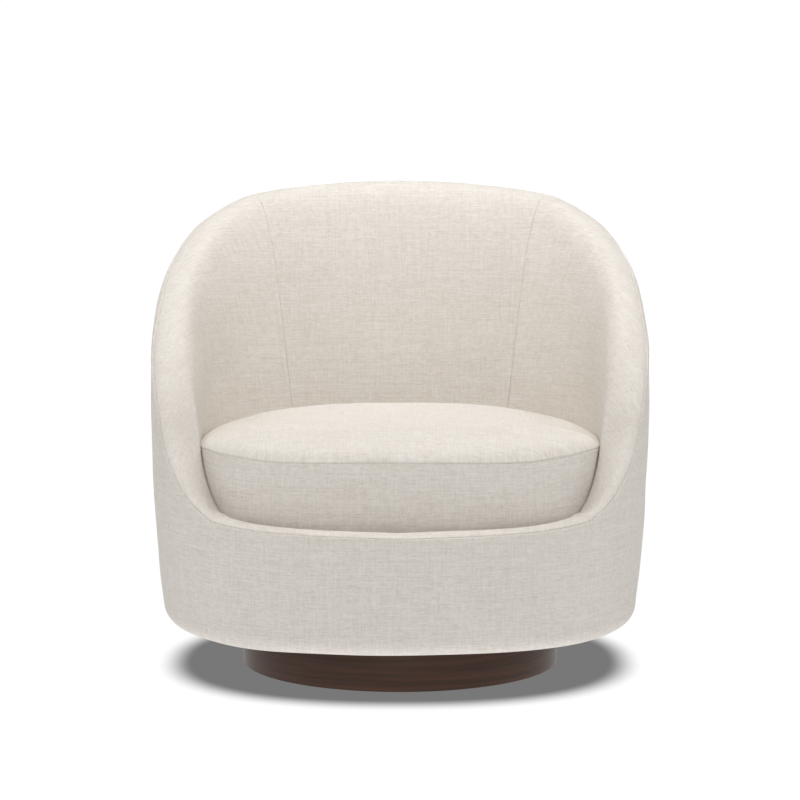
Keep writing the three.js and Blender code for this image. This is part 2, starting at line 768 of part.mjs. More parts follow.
// Wooden frame of the tub, with its panels and liners
function buildFrame() {
  addPiece('front_rail', sweep(seamed(frontTurns), frontRailSection), plywood);
  addPiece('crest_rail', sweep(seamed(backTurns), railSection), plywood);
  addPiece('outer_panel_back', sweep(seamed(backTurns), panelSection), hardboard);
  addPiece('inner_liner_back', sweep(seamed(backTurns), linerSection), hardboard);
  addPiece('front_ledger', sweep(seamed(frontTurns), ledgerSection), plywood);
  addPiece('back_ledger', sweep(seamed(backTurns), ledgerSection), plywood);
  for (const [side, turns] of [['left', leftTurns], ['right', rightTurns]]) {
    addPiece(`arm_rail_${side}`, sweep(seamed(turns), railSection), plywood);
    addPiece(`outer_panel_${side}`, sweep(seamed(turns), panelSection), hardboard);
    addPiece(`inner_liner_${side}`, sweep(seamed(turns), linerSection), hardboard);
    addPiece(`side_ledger_${side}`, sweep(seamed(turns), ledgerSection), plywood);
    addPiece(`front_post_${side}`, sweep(seamed(postTurns(side, 0)), postSection), plywood);
    addPiece(`back_post_${side}`, sweep(seamed(postTurns(side, sideSteps - 1)), postSection), plywood);
  }
}

// A zigzag spring wire from the front ledger to the back ledger
function zigzagSpring(x) {
  const wireHeight = ledgerTopHeight + clearance + springWire / 2;
  const ledgerY = (sign) => {
    let [low, high] = [0, 90];
    const endRadius = (turn) => wellRadius(turn, ledgerTopHeight) - springEndInset;
    for (let i = 0; i < endHalvings; i += 1) {
      const middle = (low + high) / 2;
      const reach = endRadius(sign * middle) * Math.cos(middle * degrees);
      if (reach > Math.abs(x) + springLoopWidth / 2) low = middle;
      else high = middle;
    }
    return endRadius(sign * high) * Math.sin(sign * high * degrees);
  };
  const start = ledgerY(-1);
  const end = ledgerY(1);
  const bends = springLoops * 2;
  const centres = [[x, start]];
  for (let i = 0; i < bends; i += 1) {
    const side = i % 2 ? 1 : -1;
    const from = start + (end - start) * (i + loopStartShare) / (bends + loopEndAllowance);
    const to = start + (end - start) * (i + loopEndShare) / (bends + loopEndAllowance);
    centres.push([x + side * springLoopWidth / 2, from], [x + side * springLoopWidth / 2, to]);
  }
  centres.push([x, end]);
  const half = springWire / 2;
  const rings = centres.map(([cx, cy], i) => {
    const before = centres[Math.max(0, i - 1)];
    const after = centres[Math.min(centres.length - 1, i + 1)];
    const first = new THREE.Vector2(cx - before[0], cy - before[1]).normalize();
    const second = new THREE.Vector2(after[0] - cx, after[1] - cy).normalize();
    const across = new THREE.Vector2(-first.y - second.y, first.x + second.x).normalize();
    const side = first.lengthSq() > 0 ? first : second;
    const reach = half / Math.max(sharpestReach, Math.abs(across.y * side.x - across.x * side.y));
    return [[-1, -1], [1, -1], [1, 1], [-1, 1]].map(([s, t]) => [
      cx + across.x * reach * s, cy + across.y * reach * s, wireHeight + half * t,
    ]);
  });
  const positions = [];
  const quad = (a, b, c, d) => positions.push(...a, ...b, ...c, ...a, ...c, ...d);
  for (let k = 0; k < rings.length - 1; k += 1) {
    for (let i = 0; i < 4; i += 1) {
      const j = (i + 1) % 4;
      quad(rings[k][i], rings[k][j], rings[k + 1][j], rings[k + 1][i]);
    }
  }
  const last = rings.length - 1;
  quad(rings[0][3], rings[0][2], rings[0][1], rings[0][0]);
  quad(rings[last][0], rings[last][1], rings[last][2], rings[last][3]);
  return weld(positions);
}

function buildDeck() {
  springPlaces.forEach((place, i) => {
    addPiece(`zigzag_spring_${i + 1}`, zigzagSpring(place * springGap), steel);
  });
  addPiece('clip_strip_front', sweep(seamed(frontTurns), clipStripSection), steel);
  const backClipTurns = range(90 - backClipHalfTurn, 90 + backClipHalfTurn, backClipSteps);
  addPiece('clip_strip_back', sweep(backClipTurns, clipStripSection), steel);
  addPiece('deck_pad', sweep(allTurns, deckPadSection, true), felt);
}

function buildUpholstery() {
  addPiece('front_lip_foam', sweep(seamed(frontTurns), capFoamSection), foam);
  addPiece('back_foam', sweep(seamed(backTurns), hookedFoamSection), foam);
  addPiece('arm_foam_left', sweep(seamed(leftTurns), hookedFoamSection), foam);
  addPiece('arm_foam_right', sweep(seamed(rightTurns), hookedFoamSection), foam);
  addPiece('outer_cover', sweep(allTurns, outerCoverSection, true), fabric);
  addPiece('front_lip_cover', sweep(seamed(frontTurns), innerCoverSection), fabric);
  addPiece('inside_back_cover', sweep(seamed(backTurns), innerCoverSection), fabric);
  addPiece('inside_arm_cover_left', sweep(seamed(leftTurns), innerCoverSection), fabric);
  addPiece('inside_arm_cover_right', sweep(seamed(rightTurns), innerCoverSection), fabric);
}

// The cushion fits the well, follows its leaning wall and has a crowned top
const cushionRadius = (turn, height) => wellRadius(turn, height) - cushionClearance;

function cushionBottomLine(turn) {
  const edge = cushionRadius(turn, deckHeight) - cushionSeamDrawIn;
  return [
    ...[0, edge * bottomRingShare, edge - cushionEdgeDrop].map((radius) => [radius, deckHeight]),
    [edge, deckHeight + cushionEdgeDrop],
  ];
}

function cushionSideLine(turn) {
  const bottom = deckHeight + cushionEdgeDrop;
  return range(0, 1, boxingSteps).map((share) => {
    const height = bottom + (cushionSeamHeight - bottom) * share;
    const fullness = Math.sin(share * Math.PI) ** boxingFullness;
    return [cushionRadius(turn, height) - cushionSeamDrawIn * (1 - fullness), height];
  });
}

function cushionTopLine(turn) {
  const edge = cushionRadius(turn, cushionSeamHeight) - cushionSeamDrawIn;
  const crown = cushionCrownHeight - cushionSeamHeight;
  return [[edge, cushionSeamHeight], ...crownShares.map((share) => [
    edge * share, cushionSeamHeight + crown * (1 - share ** crownFlatness) ** crownRoundness,
  ])];
}

const cushionSkin = (turn) => [
  ...cushionBottomLine(turn), ...cushionSideLine(turn).slice(1), ...cushionTopLine(turn).slice(1),
];
const lowerSeamPlace = 3;
const upperSeamPlace = lowerSeamPlace + boxingSteps;
const crownPlace = upperSeamPlace + crownShares.length;

function cushionPanel(first, last) {
  const section = (turn) => clothSection(cushionSkin(turn), first, last, clothThickness);
  return sweep(allTurns, section, true);
}

// The zip lies on the back of the boxing, a little below the middle
const zipMiddle = deckHeight + (cushionSeamHeight - deckHeight) * zipHeightShare;

// A straight strip on the fullest part of the boxing between two heights. It leans with the wall.
function stripSection(turn, gap, thickness, bottom, top) {
  const lean = fromTable(wallLeans, turn);
  const line = cushionSideLine(turn);
  const between = line.filter(([, height]) => height > bottom && height < top);
  const ends = [bottom, top].map((height) => [radiusOn(line, height), height]);
  const inner = Math.max(...[...ends, ...between].map(([radius, height]) => radius - lean * height)) + gap;
  const upright = rectangle(inner, inner + thickness, bottom, top);
  return upright.map(([radius, height]) => [radius + lean * height, height]);
}

const zipTop = zipMiddle + zipHeight / 2;
const zipSection = (turn) => stripSection(turn, clearance, zipThickness, zipTop - zipHeight, zipTop);

// The pull hangs on the zip near one end
const pullGap = zipThickness + 2 * clearance;
const pullSection = (turn) => stripSection(turn, pullGap, pullThickness, zipTop - pullLength, zipTop);

function buildCushion() {
  const coreSection = (turn) => offsetLine(cushionSkin(turn), clothThickness + clearance);
  addPiece('cushion_core', sweep(allTurns, coreSection, true), foam);
  addPiece('cushion_bottom_panel', cushionPanel(0, lowerSeamPlace), fabric);
  addPiece('cushion_boxing', cushionPanel(lowerSeamPlace, upperSeamPlace), fabric);
  addPiece('cushion_top_panel', cushionPanel(upperSeamPlace, crownPlace), fabric);
  const zipHalfTurn = zipLength / 2 / cushionRadius(90, zipMiddle) / degrees;
  const zipTurns = backTurns.filter((turn) => Math.abs(turn - 90) < zipHalfTurn);
  addPiece('cushion_zip', sweep(zipTurns, zipSection), plastic);
  const pullTurn = zipTurns[1];
  const pullHalfTurn = pullWidth / 2 / cushionRadius(pullTurn, zipMiddle) / degrees;
  addPiece('zip_pull', sweep([pullTurn - pullHalfTurn, pullTurn + pullHalfTurn], pullSection), steel);
}

buildPlinth();
buildSwivel();
buildFixings();
buildBase();
buildFrame();
buildDeck();
buildUpholstery();
buildCushion();

export default chair;
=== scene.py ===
"""Looks of the swivel barrel chair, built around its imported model.

Metres, +Z up. The origin is on the floor, on the swivel axis, and the chair faces -Y. A turn is
an angle in degrees about that axis: 0 is +X, 90 the middle of the back and -90 the middle of the
front.
"""

import math

import bpy
import numpy as np
from mathutils.kdtree import KDTree
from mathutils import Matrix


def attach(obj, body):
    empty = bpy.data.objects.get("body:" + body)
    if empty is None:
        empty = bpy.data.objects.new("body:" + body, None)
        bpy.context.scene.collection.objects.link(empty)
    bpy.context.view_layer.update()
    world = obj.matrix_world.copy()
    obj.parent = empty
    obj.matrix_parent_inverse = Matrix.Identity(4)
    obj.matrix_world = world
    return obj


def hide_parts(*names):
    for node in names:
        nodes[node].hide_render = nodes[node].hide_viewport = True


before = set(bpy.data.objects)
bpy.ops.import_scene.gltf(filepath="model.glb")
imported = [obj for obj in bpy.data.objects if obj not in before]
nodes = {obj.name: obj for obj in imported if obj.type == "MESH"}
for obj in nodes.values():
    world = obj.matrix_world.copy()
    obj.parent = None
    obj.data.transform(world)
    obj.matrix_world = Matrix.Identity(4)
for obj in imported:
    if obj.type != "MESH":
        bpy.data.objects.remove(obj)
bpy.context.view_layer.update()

# Camera
# It stands straight in front of the chair, a little above its back, and looks slightly down.
CAMERA_DISTANCE = 4.361
CAMERA_HEIGHT = 0.922
CAMERA_PITCH = 6.49
SENSOR_WIDTH = 36
FOCAL_LENGTH = 121.9

bpy.ops.object.camera_add(
    location=(0, -CAMERA_DISTANCE, CAMERA_HEIGHT),
    rotation=(math.radians(90 - CAMERA_PITCH), 0, 0),
)
camera = bpy.context.object
camera.data.sensor_width = SENSOR_WIDTH
camera.data.lens = FOCAL_LENGTH
bpy.context.scene.camera = camera


# Plinth
# A round plywood core with a band of walnut-veneered board bent round it and glued. The band's
# edges are slightly rounded, its grain runs round it, and it has a satin lacquer. Four glides of
# hard plastic are nailed under the core.
PLINTH_RADIUS = 0.2562
PLINTH_FOOT = 0.0007
PLINTH_TOP = 0.06
BAND_THICKNESS = 0.016
BAND_EDGE_RADIUS = 0.0016


def select_only(*pieces):
    """Selects these pieces, and the first is the active one."""
    bpy.ops.object.select_all(action="DESELECT")
    for piece in pieces:
        piece.select_set(True)
    bpy.context.view_layer.objects.active = pieces[0]


def apply_modifier(piece, kind, **settings):
    """Changes a piece's mesh by a modifier of this kind."""
    bpy.context.view_layer.objects.active = piece
    modifier = piece.modifiers.new(kind, kind)
    for key, value in settings.items():
        setattr(modifier, key, value)
    bpy.ops.object.modifier_apply(modifier=modifier.name)


bpy.ops.mesh.primitive_cylinder_add(
    vertices=256, radius=PLINTH_RADIUS, depth=PLINTH_TOP - PLINTH_FOOT,
    location=(0, 0, (PLINTH_TOP + PLINTH_FOOT) / 2),
)  # fmt: skip
band = bpy.context.object
band.name = band.data.name = "walnut_band"
bpy.ops.object.transform_apply(location=True)
bpy.ops.object.mode_set(mode="EDIT")
bpy.ops.mesh.select_mode(type="FACE")
bpy.ops.mesh.select_all(action="DESELECT")
bpy.ops.object.mode_set(mode="OBJECT")
for face in band.data.polygons:
    face.select = abs(face.normal.z) > 0.9
bpy.ops.object.mode_set(mode="EDIT")
bpy.ops.mesh.inset(thickness=BAND_THICKNESS)
bpy.ops.mesh.bridge_edge_loops()
bpy.ops.object.mode_set(mode="OBJECT")
apply_modifier(band, "BEVEL", width=BAND_EDGE_RADIUS, segments=4, angle_limit=math.radians(50))
bpy.ops.object.shade_smooth_by_angle(angle=math.radians(35))


def new_group(name, inputs, outputs):
    """A shader node group. Its inputs and outputs are given by name, each with its kind."""
    tree = bpy.data.node_groups.new(name, "ShaderNodeTree")
    for direction, sockets in (("INPUT", inputs), ("OUTPUT", outputs)):
        for label, kind in sockets.items():
            tree.interface.new_socket(label, in_out=direction, socket_type=f"NodeSocket{kind}")
    return tree, tree.nodes.new("NodeGroupInput").outputs, tree.nodes.new("NodeGroupOutput").inputs


def put(tree, kind, settings=None, **links):
    """Adds a node. Its inputs are given as values or as the sockets that feed them.

    They go by name, with _ for a space, or by number, as i0, i1 and so on.
    """
    node = tree.nodes.new(kind)
    for key, value in (settings or {}).items():
        setattr(node, key, value)
    for key, value in links.items():
        wanted = key.replace("_", " ")
        socket = node.inputs[int(wanted[1:])] if wanted[1:].isdigit() else node.inputs[wanted]
        if isinstance(value, bpy.types.NodeSocket):
            tree.links.new(value, socket)
        else:
            socket.default_value = value
    return node


def calc(tree, operation, *values):
    """A Math node's result."""
    inputs = {f"i{k}": value for k, value in enumerate(values)}
    return put(tree, "ShaderNodeMath", {"operation": operation}, **inputs).outputs[0]


def times(tree, first, second):
    return calc(tree, "MULTIPLY", first, second)


def plus(tree, first, second):
    return calc(tree, "ADD", first, second)


def noise(tree, place, scale, detail=2.0, roughness=0.55):
    """Noise from 0 to 1, stretched by a scale for each axis."""
    mapped = put(tree, "ShaderNodeMapping", Vector=place, Scale=scale).outputs[0]
    kind = {"Scale": 1.0, "Detail": detail, "Roughness": roughness}
    return put(tree, "ShaderNodeTexNoise", Vector=mapped, **kind).outputs[0]


def fade(tree, value, low, high):
    """0 below low, 1 above high and smooth between."""
    how = {"interpolation_type": "SMOOTHSTEP"}
    ends = {"From_Min": low, "From_Max": high}
    return put(tree, "ShaderNodeMapRange", how, Value=value, **ends).outputs["Result"]


def blend_colours(tree, factor, first, second):
    """The first colour where the factor is 0, and the second where it is 1."""
    mix = put(tree, "ShaderNodeMix", {"data_type": "RGBA"}, i0=factor, i6=first, i7=second)
    return mix.outputs[2]


def join_axes(tree, **axes):
    return put(tree, "ShaderNodeCombineXYZ", **axes).outputs[0]


def split_axes(tree, vector):
    return put(tree, "ShaderNodeSeparateXYZ", Vector=vector).outputs


def object_place(tree):
    return put(tree, "ShaderNodeTexCoord").outputs["Object"]


def new_material(name, **values):
    """A material, its nodes and its Principled shader with these constant values."""
    material = bpy.data.materials.new(name)
    material.use_nodes = True
    shader = material.node_tree.nodes["Principled BSDF"]
    for key, value in values.items():
        shader.inputs[key.replace("_", " ")].default_value = value
    return material, material.node_tree, shader.inputs


def set_colour(tree, shader, factor, first, second):
    """Gives a shader a base colour that lies between two colours."""
    tree.links.new(blend_colours(tree, factor, first, second), shader["Base Color"])


def add_bump(tree, shader, height, distance):
    bump = put(tree, "ShaderNodeBump", Strength=1.0, Distance=distance, Height=height)
    tree.links.new(bump.outputs[0], shader["Normal"])


def finish_piece(piece, material):
    """Gives a piece, or a node of the model, one material."""
    piece.data.materials.clear()
    piece.data.materials.append(material)


# Wood grain: broad bands, fine fibres and short dark pores, all along the place's X axis
grain, given, result = new_group(
    "wood grain",
    {"Place": "Vector", "Pale": "Color", "Dark": "Color", "Pores": "Float", "Gloss": "Float"},
    {"Color": "Color", "Roughness": "Float", "Height": "Float"},
)
broad = noise(grain, given["Place"], (3, 105, 105), 3.0)
streaks = noise(grain, given["Place"], (6, 300, 300), 3.0, 0.6)
fibres = noise(grain, given["Place"], (22, 1100, 1100), 2.0)
open_grain = fade(grain, noise(grain, given["Place"], (70, 1700, 1700)), 0.6, 0.7)
pores = times(grain, open_grain, given["Pores"])
tone = plus(grain, times(grain, broad, 0.55), times(grain, streaks, 0.45))
body = blend_colours(grain, fade(grain, tone, 0.36, 0.64), given["Dark"], given["Pale"])
fine_lines = times(grain, fade(grain, fibres, 0.35, 0.75), 0.35)
fibred = blend_colours(grain, fine_lines, body, given["Dark"])
grain.links.new(blend_colours(grain, pores, fibred, (0.012, 0.008, 0.006, 1)), result["Color"])
grain.links.new(calc(grain, "MULTIPLY_ADD", streaks, 0.12, given["Gloss"]), result["Roughness"])
grain.links.new(calc(grain, "SUBTRACT", times(grain, fibres, 0.5), pores), result["Height"])


def wood_material(name, place_of, pale, dark, pores, gloss, distance, **values):
    """A wood whose grain runs along the X axis of the place that place_of gives."""
    material, tree, shader = new_material(name, **values)
    wood = put(
        tree, "ShaderNodeGroup", {"node_tree": grain},
        Place=place_of(tree), Pale=pale, Dark=dark, Pores=pores, Gloss=gloss,
    ).outputs  # fmt: skip
    tree.links.new(wood["Color"], shader["Base Color"])
    tree.links.new(wood["Roughness"], shader["Roughness"])
    add_bump(tree, shader, wood["Height"], distance)
    return material, tree, shader


def round_the_plinth(tree):
    """X runs round the band from the middle of its front, and the veneer meets itself behind."""
    axes = split_axes(tree, object_place(tree))
    turn = calc(tree, "ARCTAN2", axes["X"], times(tree, axes["Y"], -1.0))
    flat = join_axes(tree, X=axes["X"], Y=axes["Y"])
    reach = put(tree, "ShaderNodeVectorMath", {"operation": "LENGTH"}, i0=flat).outputs["Value"]
    return join_axes(tree, X=times(tree, turn, PLINTH_RADIUS), Y=axes["Z"], Z=reach)


walnut, _, _ = wood_material(
    "satin_walnut", round_the_plinth, (0.08, 0.03, 0.012, 1), (0.042, 0.016, 0.007, 1),
    pores=0.35, gloss=0.26, distance=0.00006,
    Specular_IOR_Level=0.35, Coat_Weight=0.15, Coat_Roughness=0.22,
)  # fmt: skip
finish_piece(band, walnut)
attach(band, "plinth")
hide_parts("plinth_band")

# Plywood: birch faces, and edges that show its plies, a pale and a dark one in turn
PLY_PAIR = 0.0028
plywood, tree, shader = wood_material(
    "birch_plywood", object_place, (0.62, 0.45, 0.27, 1), (0.47, 0.31, 0.17, 1),
    pores=0.25, gloss=0.6, distance=0.0001,
)  # fmt: skip
upright = split_axes(tree, put(tree, "ShaderNodeNewGeometry").outputs["Normal"])["Z"]
height = split_axes(tree, object_place(tree))["Z"]
plies = calc(tree, "SINE", times(tree, height, 2 * math.pi / PLY_PAIR))
on_edge = calc(tree, "LESS_THAN", calc(tree, "ABSOLUTE", upright), 0.5)
dark_ply = times(tree, times(tree, fade(tree, plies, -0.2, 0.4), on_edge), 0.6)
wood_colour = shader["Base Color"].links[0].from_socket
set_colour(tree, shader, dark_ply, wood_colour, (0.27, 0.15, 0.08, 1))
finish_piece(nodes["plinth_core"], plywood)

# Glides: black plastic with a fine moulded texture, scuffed underneath
plastic, tree, shader = new_material("glide_plastic", Specular_IOR_Level=0.4)
place = object_place(tree)
scuffs = fade(tree, noise(tree, place, (160, 160, 160), 3.0), 0.45, 0.75)
set_colour(tree, shader, scuffs, (0.02, 0.019, 0.018, 1), (0.06, 0.057, 0.053, 1))
tree.links.new(calc(tree, "MULTIPLY_ADD", scuffs, 0.25, 0.42), shader["Roughness"])
add_bump(tree, shader, noise(tree, place, (1400, 1400, 1400)), 0.00008)
for i in range(1, 5):
    finish_piece(nodes[f"glide_{i}"], plastic)


# Swivel
# Two pressed and zinc-plated steel plates with a ring of steel balls between their races. The
# lower one is screwed to the plinth and the upper one bolted to the base board.
steel, tree, shader = new_material("plated_steel", Metallic=1.0)
place = object_place(tree)
clouds = noise(tree, place, (28, 28, 28), 3.0, 0.6)
marks = fade(tree, noise(tree, place, (320, 320, 320)), 0.5, 0.8)
clouded = fade(tree, clouds, 0.3, 0.7)
plated = blend_colours(tree, clouded, (0.44, 0.45, 0.46, 1), (0.62, 0.62, 0.6, 1))
set_colour(tree, shader, times(tree, marks, 0.4), plated, (0.3, 0.3, 0.31, 1))
dulled = plus(tree, calc(tree, "MULTIPLY_ADD", clouds, 0.2, 0.2), times(tree, marks, 0.15))
tree.links.new(dulled, shader["Roughness"])
add_bump(tree, shader, marks, 0.00005)
fixings = [f"plinth_screw_{i}" for i in range(1, 5)] + [f"seat_bolt_{i}" for i in range(1, 5)]
for name in ["swivel_lower_plate", "swivel_upper_plate", "ball_cage", *fixings]:
    finish_piece(nodes[name], steel)


# Frame
# Plywood base board, posts, rails and ledgers, glued and screwed, with bent hardboard panels
# outside and liners inside. A dust cover of black non-woven cloth is stapled under it.
hardboard, tree, shader = new_material("hardboard", Roughness=0.75)
place = object_place(tree)
fine_felt = times(tree, noise(tree, place, (420, 420, 420), 4.0, 0.7), 0.6)
felted = plus(tree, fine_felt, times(tree, noise(tree, place, (30, 30, 30)), 0.4))
mottled = fade(tree, felted, 0.35, 0.65)
set_colour(tree, shader, mottled, (0.19, 0.105, 0.05, 1), (0.33, 0.2, 0.1, 1))
add_bump(tree, shader, felted, 0.0002)

bonded, tree, shader = new_material("black_dust_cloth", Roughness=0.95)
place = object_place(tree)
cells = put(
    tree, "ShaderNodeTexVoronoi", {"feature": "F1"}, Vector=place, Scale=650.0, Randomness=0.25
)
dots = fade(tree, cells.outputs["Distance"], 0.1, 0.5)
strands = fade(tree, noise(tree, place, (700, 700, 700), 4.0, 0.7), 0.4, 0.7)
set_colour(tree, shader, strands, (0.010, 0.010, 0.011, 1), (0.035, 0.035, 0.037, 1))
add_bump(tree, shader, plus(tree, strands, dots), 0.0002)

for name in ("base_board", "front_rail", "crest_rail", "front_ledger", "back_ledger"):
    finish_piece(nodes[name], plywood)
for side in ("left", "right"):
    for name in ("arm_rail", "side_ledger", "front_post", "back_post"):
        finish_piece(nodes[f"{name}_{side}"], plywood)
for side in ("left", "right", "back"):
    for name in ("outer_panel", "inner_liner"):
        finish_piece(nodes[f"{name}_{side}"], hardboard)
finish_piece(nodes["dust_cover"], bonded)


# Springs
# Four zigzag springs of steel wire run from the front ledger to the back one, each held at its
# ends under a folded steel strip.
for name in [f"zigzag_spring_{i}" for i in range(1, 5)] + ["clip_strip_front", "clip_strip_back"]:
    finish_piece(nodes[name], steel)


# Outer cover
# Woven linen-look cloth sewn from a wrap round the front and both sides and a panel outside the
# back. It is pulled over the bent outer panels, and its hem is stapled under the base board.
SHELL_HALF_WIDTH = 0.399
SHELL_HALF_DEPTH = 0.398
SHELL_PLAN_POWER = 2.5
SHELL_BOTTOM = 0.079
WIDEST_HEIGHT = 0.418
LOWER_DRAW_IN = 0.0543
UPPER_DRAW_IN = 0.02
LOWER_EDGE_RADIUS = 0.032
HEM_WIDTH = 0.026
FRONT_RIM = 0.259
BACK_RIM = 0.737
CORNER_TURN = -46.4
BACK_SEAM_TURN = 47.5
# Such a table holds pairs of a turn on the right-hand half and a value there: here the share of
# the way from the front's rim up to the back's
RIM_RISE = [
    (-90, 0), (-60, 0.0125), (-48, 0.0255), (CORNER_TURN, 0.0318), (-45.4, 0.0395),
    (-40.3, 0.0785), (-33.5, 0.157), (-29.2, 0.225), (-25.6, 0.311), (-22.5, 0.371),
    (-16, 0.465), (-10, 0.528), (-2, 0.589), (5, 0.643), (20, 0.769), (35, 0.885),
    (50, 0.96), (65, 0.985), (78, 0.998), (90, 1),
]  # fmt: skip
ROLL_RISE = [(-90, 0.009), (-60, 0.009), (CORNER_TURN, 0.011), (-30, 0.02), (0, 0.03), (90, 0.032)]
ROLL_POWER = 2.15
SEAM_ON_ROLL = [(-90, 20), (-24, 20), (6, 45), (90, 45)]
WELL_HALF_WIDTH = 0.3205
WELL_DEPTHS = (0.349, 0.197)
WELL_POWERS = (3.2, 2.6)
DECK_HEIGHT = 0.258
WALL_LEAN = [(-90, 0), (-10, 0), (5, 0.008), (20, 0.04), (35, 0.12), (51, 0.18), (90, 0.186)]
COVER_THICKNESS = 0.0018
COVER_FOOT = 0.2363


def smooth_table(table, turns):
    """A smooth curve through the table's pairs that never overshoots them."""
    x, y = np.array(table, float).T
    slope = np.diff(y) / np.diff(x)
    tangent = np.empty_like(y)
    tangent[0], tangent[-1] = slope[0], slope[-1]
    product = slope[:-1] * slope[1:]
    total = np.where(product > 0, slope[:-1] + slope[1:], 1)
    tangent[1:-1] = np.where(product > 0, 2 * product / total, 0)
    turns = np.clip(turns, x[0], x[-1])
    i = np.clip(np.searchsorted(x, turns) - 1, 0, len(x) - 2)
    width = x[i + 1] - x[i]
    t = (turns - x[i]) / width
    rise = y[i + 1] - y[i]
    start, end = tangent[i] * width, tangent[i + 1] * width
    return y[i] + t * (start + t * (3 * rise - 2 * start - end + t * (start + end - 2 * rise)))


def fold_turn(turns):
    """Both halves of the chair are alike, so turns are folded onto the right-hand half."""
    folded = np.mod(np.asarray(turns, float) + 180, 360) - 180
    folded = np.where(folded > 90, 180 - folded, folded)
    return np.where(folded < -90, -180 - folded, folded)


def plan_radius(turns, half_width, half_depth, power):
    """Radius of a rounded square seen from above."""
    across = np.abs(np.cos(np.radians(turns))) / half_width
    along = np.abs(np.sin(np.radians(turns))) / half_depth
    return (across**power + along**power) ** (-1 / power)


def draw_in(height):
    """Share of its widest radius that the outer wall has at a height."""
    below = np.maximum(0, WIDEST_HEIGHT - height) / (WIDEST_HEIGHT - SHELL_BOTTOM)
    above = np.maximum(0, height - WIDEST_HEIGHT) / (BACK_RIM + ROLL_RISE[-1][1] - WIDEST_HEIGHT)
    return 1 - LOWER_DRAW_IN * below**2 - UPPER_DRAW_IN * above**2


def outer_radius(turns, height):
    """Radius of the outside. Behind the axis the plan is a little shallower than before it."""
    back_depth = SHELL_HALF_DEPTH * draw_in(FRONT_RIM)
    depth = np.where(fold_turn(turns) < 0, SHELL_HALF_DEPTH, back_depth)
    return plan_radius(turns, SHELL_HALF_WIDTH, depth, SHELL_PLAN_POWER) * draw_in(height)


def rim_height(turns):
    """Height at which the walls end and the roll begins."""
    return FRONT_RIM + (BACK_RIM - FRONT_RIM) * smooth_table(RIM_RISE, fold_turn(turns))


def well_radius(turns, height):
    """Radius of the wall round the cushion, which leans out with height."""
    folded = fold_turn(turns)
    front = plan_radius(turns, WELL_HALF_WIDTH, WELL_DEPTHS[0], WELL_POWERS[0])
    back = plan_radius(turns, WELL_HALF_WIDTH, WELL_DEPTHS[1], WELL_POWERS[1])
    lean = smooth_table(WALL_LEAN, folded)
    return np.where(folded < 0, front, back) + lean * (height - DECK_HEIGHT)


def roll_points(turns, angles):
    """Radius and height on the rolled rim: angle 0 is the outer wall and 180 the well's wall."""
    rim = rim_height(turns)
    outer, inner = outer_radius(turns, rim), well_radius(turns, rim)
    cosine, sine = np.cos(np.radians(angles)), np.maximum(0, np.sin(np.radians(angles)))
    across = np.sign(cosine) * np.abs(cosine) ** (2 / ROLL_POWER)
    folded = fold_turn(turns)
    rise = smooth_table(ROLL_RISE, folded) * sine ** (2 / ROLL_POWER)
    shear = np.where(cosine < 0, smooth_table(WALL_LEAN, folded) * rise * cosine**2, 0)
    return (outer + inner) / 2 + across * (outer - inner) / 2 + shear, rim + rise


def stack_line(parts):
    """Joins parts of a section, each with its radii and heights, into one line for each turn."""
    columns = len(parts[0][0])
    spread = [
        [np.broadcast_to(axis, (columns, np.shape(axis)[-1])) for axis in part] for part in parts
    ]
    return np.stack([np.concatenate([part[k] for part in spread], 1) for k in (0, 1)], -1)


def outer_section(turns):
    """Fine line from the hem under the tub up to the seam on the roll."""
    turns = turns[:, None]
    edge_top = SHELL_BOTTOM + LOWER_EDGE_RADIUS
    edge = outer_radius(turns, edge_top)
    hem = edge - LOWER_EDGE_RADIUS - HEM_WIDTH * np.linspace(1, 0, 8)[:-1]
    bend = np.radians(np.linspace(0, 90, 24))
    bent = edge - LOWER_EDGE_RADIUS * (1 - np.sin(bend))
    wall = edge_top + (rim_height(turns) - edge_top) * np.linspace(0, 1, 90)[1:-1]
    return stack_line([
        (hem, np.full(hem.shape[1], SHELL_BOTTOM)),
        (bent, edge_top - LOWER_EDGE_RADIUS * np.cos(bend)),
        (outer_radius(turns, wall), wall),
        roll_points(turns, smooth_table(SEAM_ON_ROLL, fold_turn(turns)) * np.linspace(0, 1, 24)),
    ])  # fmt: skip


def spread_places(length, spacing, start, end):
    """Even places from 0 to each length, after the given places at its start and its end."""
    start, end = np.array(start), np.array(end)
    count = max(2, int(round((np.max(length) - start[-1] - end[-1]) / spacing)))
    length = np.atleast_1d(length)[:, None]
    middle = start[-1] + (length - start[-1] - end[-1]) * np.linspace(0, 1, count + 1)[1:-1]
    first = np.broadcast_to(start, (len(length), len(start)))
    return np.concatenate([first, middle, length - end[::-1]], 1)


def steps_along(points, axis):
    """Distance along the rows or the columns of a grid of points, from their start."""
    step = np.linalg.norm(np.diff(points, axis=axis), axis=2)
    start = np.zeros_like(step[:1] if axis == 0 else step[:, :1])
    return np.concatenate([start, np.cumsum(step, axis)], axis)


def along_line(points, places):
    """Points at given distances along each row's line of points."""
    lines = [
        [np.interp(place, distance, axis) for axis in line.T]
        for place, distance, line in zip(places, steps_along(points, 1), points)
    ]
    return np.array(lines).transpose(0, 2, 1)


def to_space(section, turns):
    """Points in space from the radii and heights of each turn."""
    angle = np.radians(turns)[:, None]
    radius, height = section[..., 0], section[..., 1]
    return np.stack([radius * np.cos(angle), radius * np.sin(angle), height], -1)


def sheet_normals(points):
    """Normals of a grid of points whose columns run along the turn and rows up the section."""
    normal = np.cross(np.gradient(points, axis=0), np.gradient(points, axis=1))
    return normal / np.maximum(np.linalg.norm(normal, axis=2, keepdims=True), 1e-12)


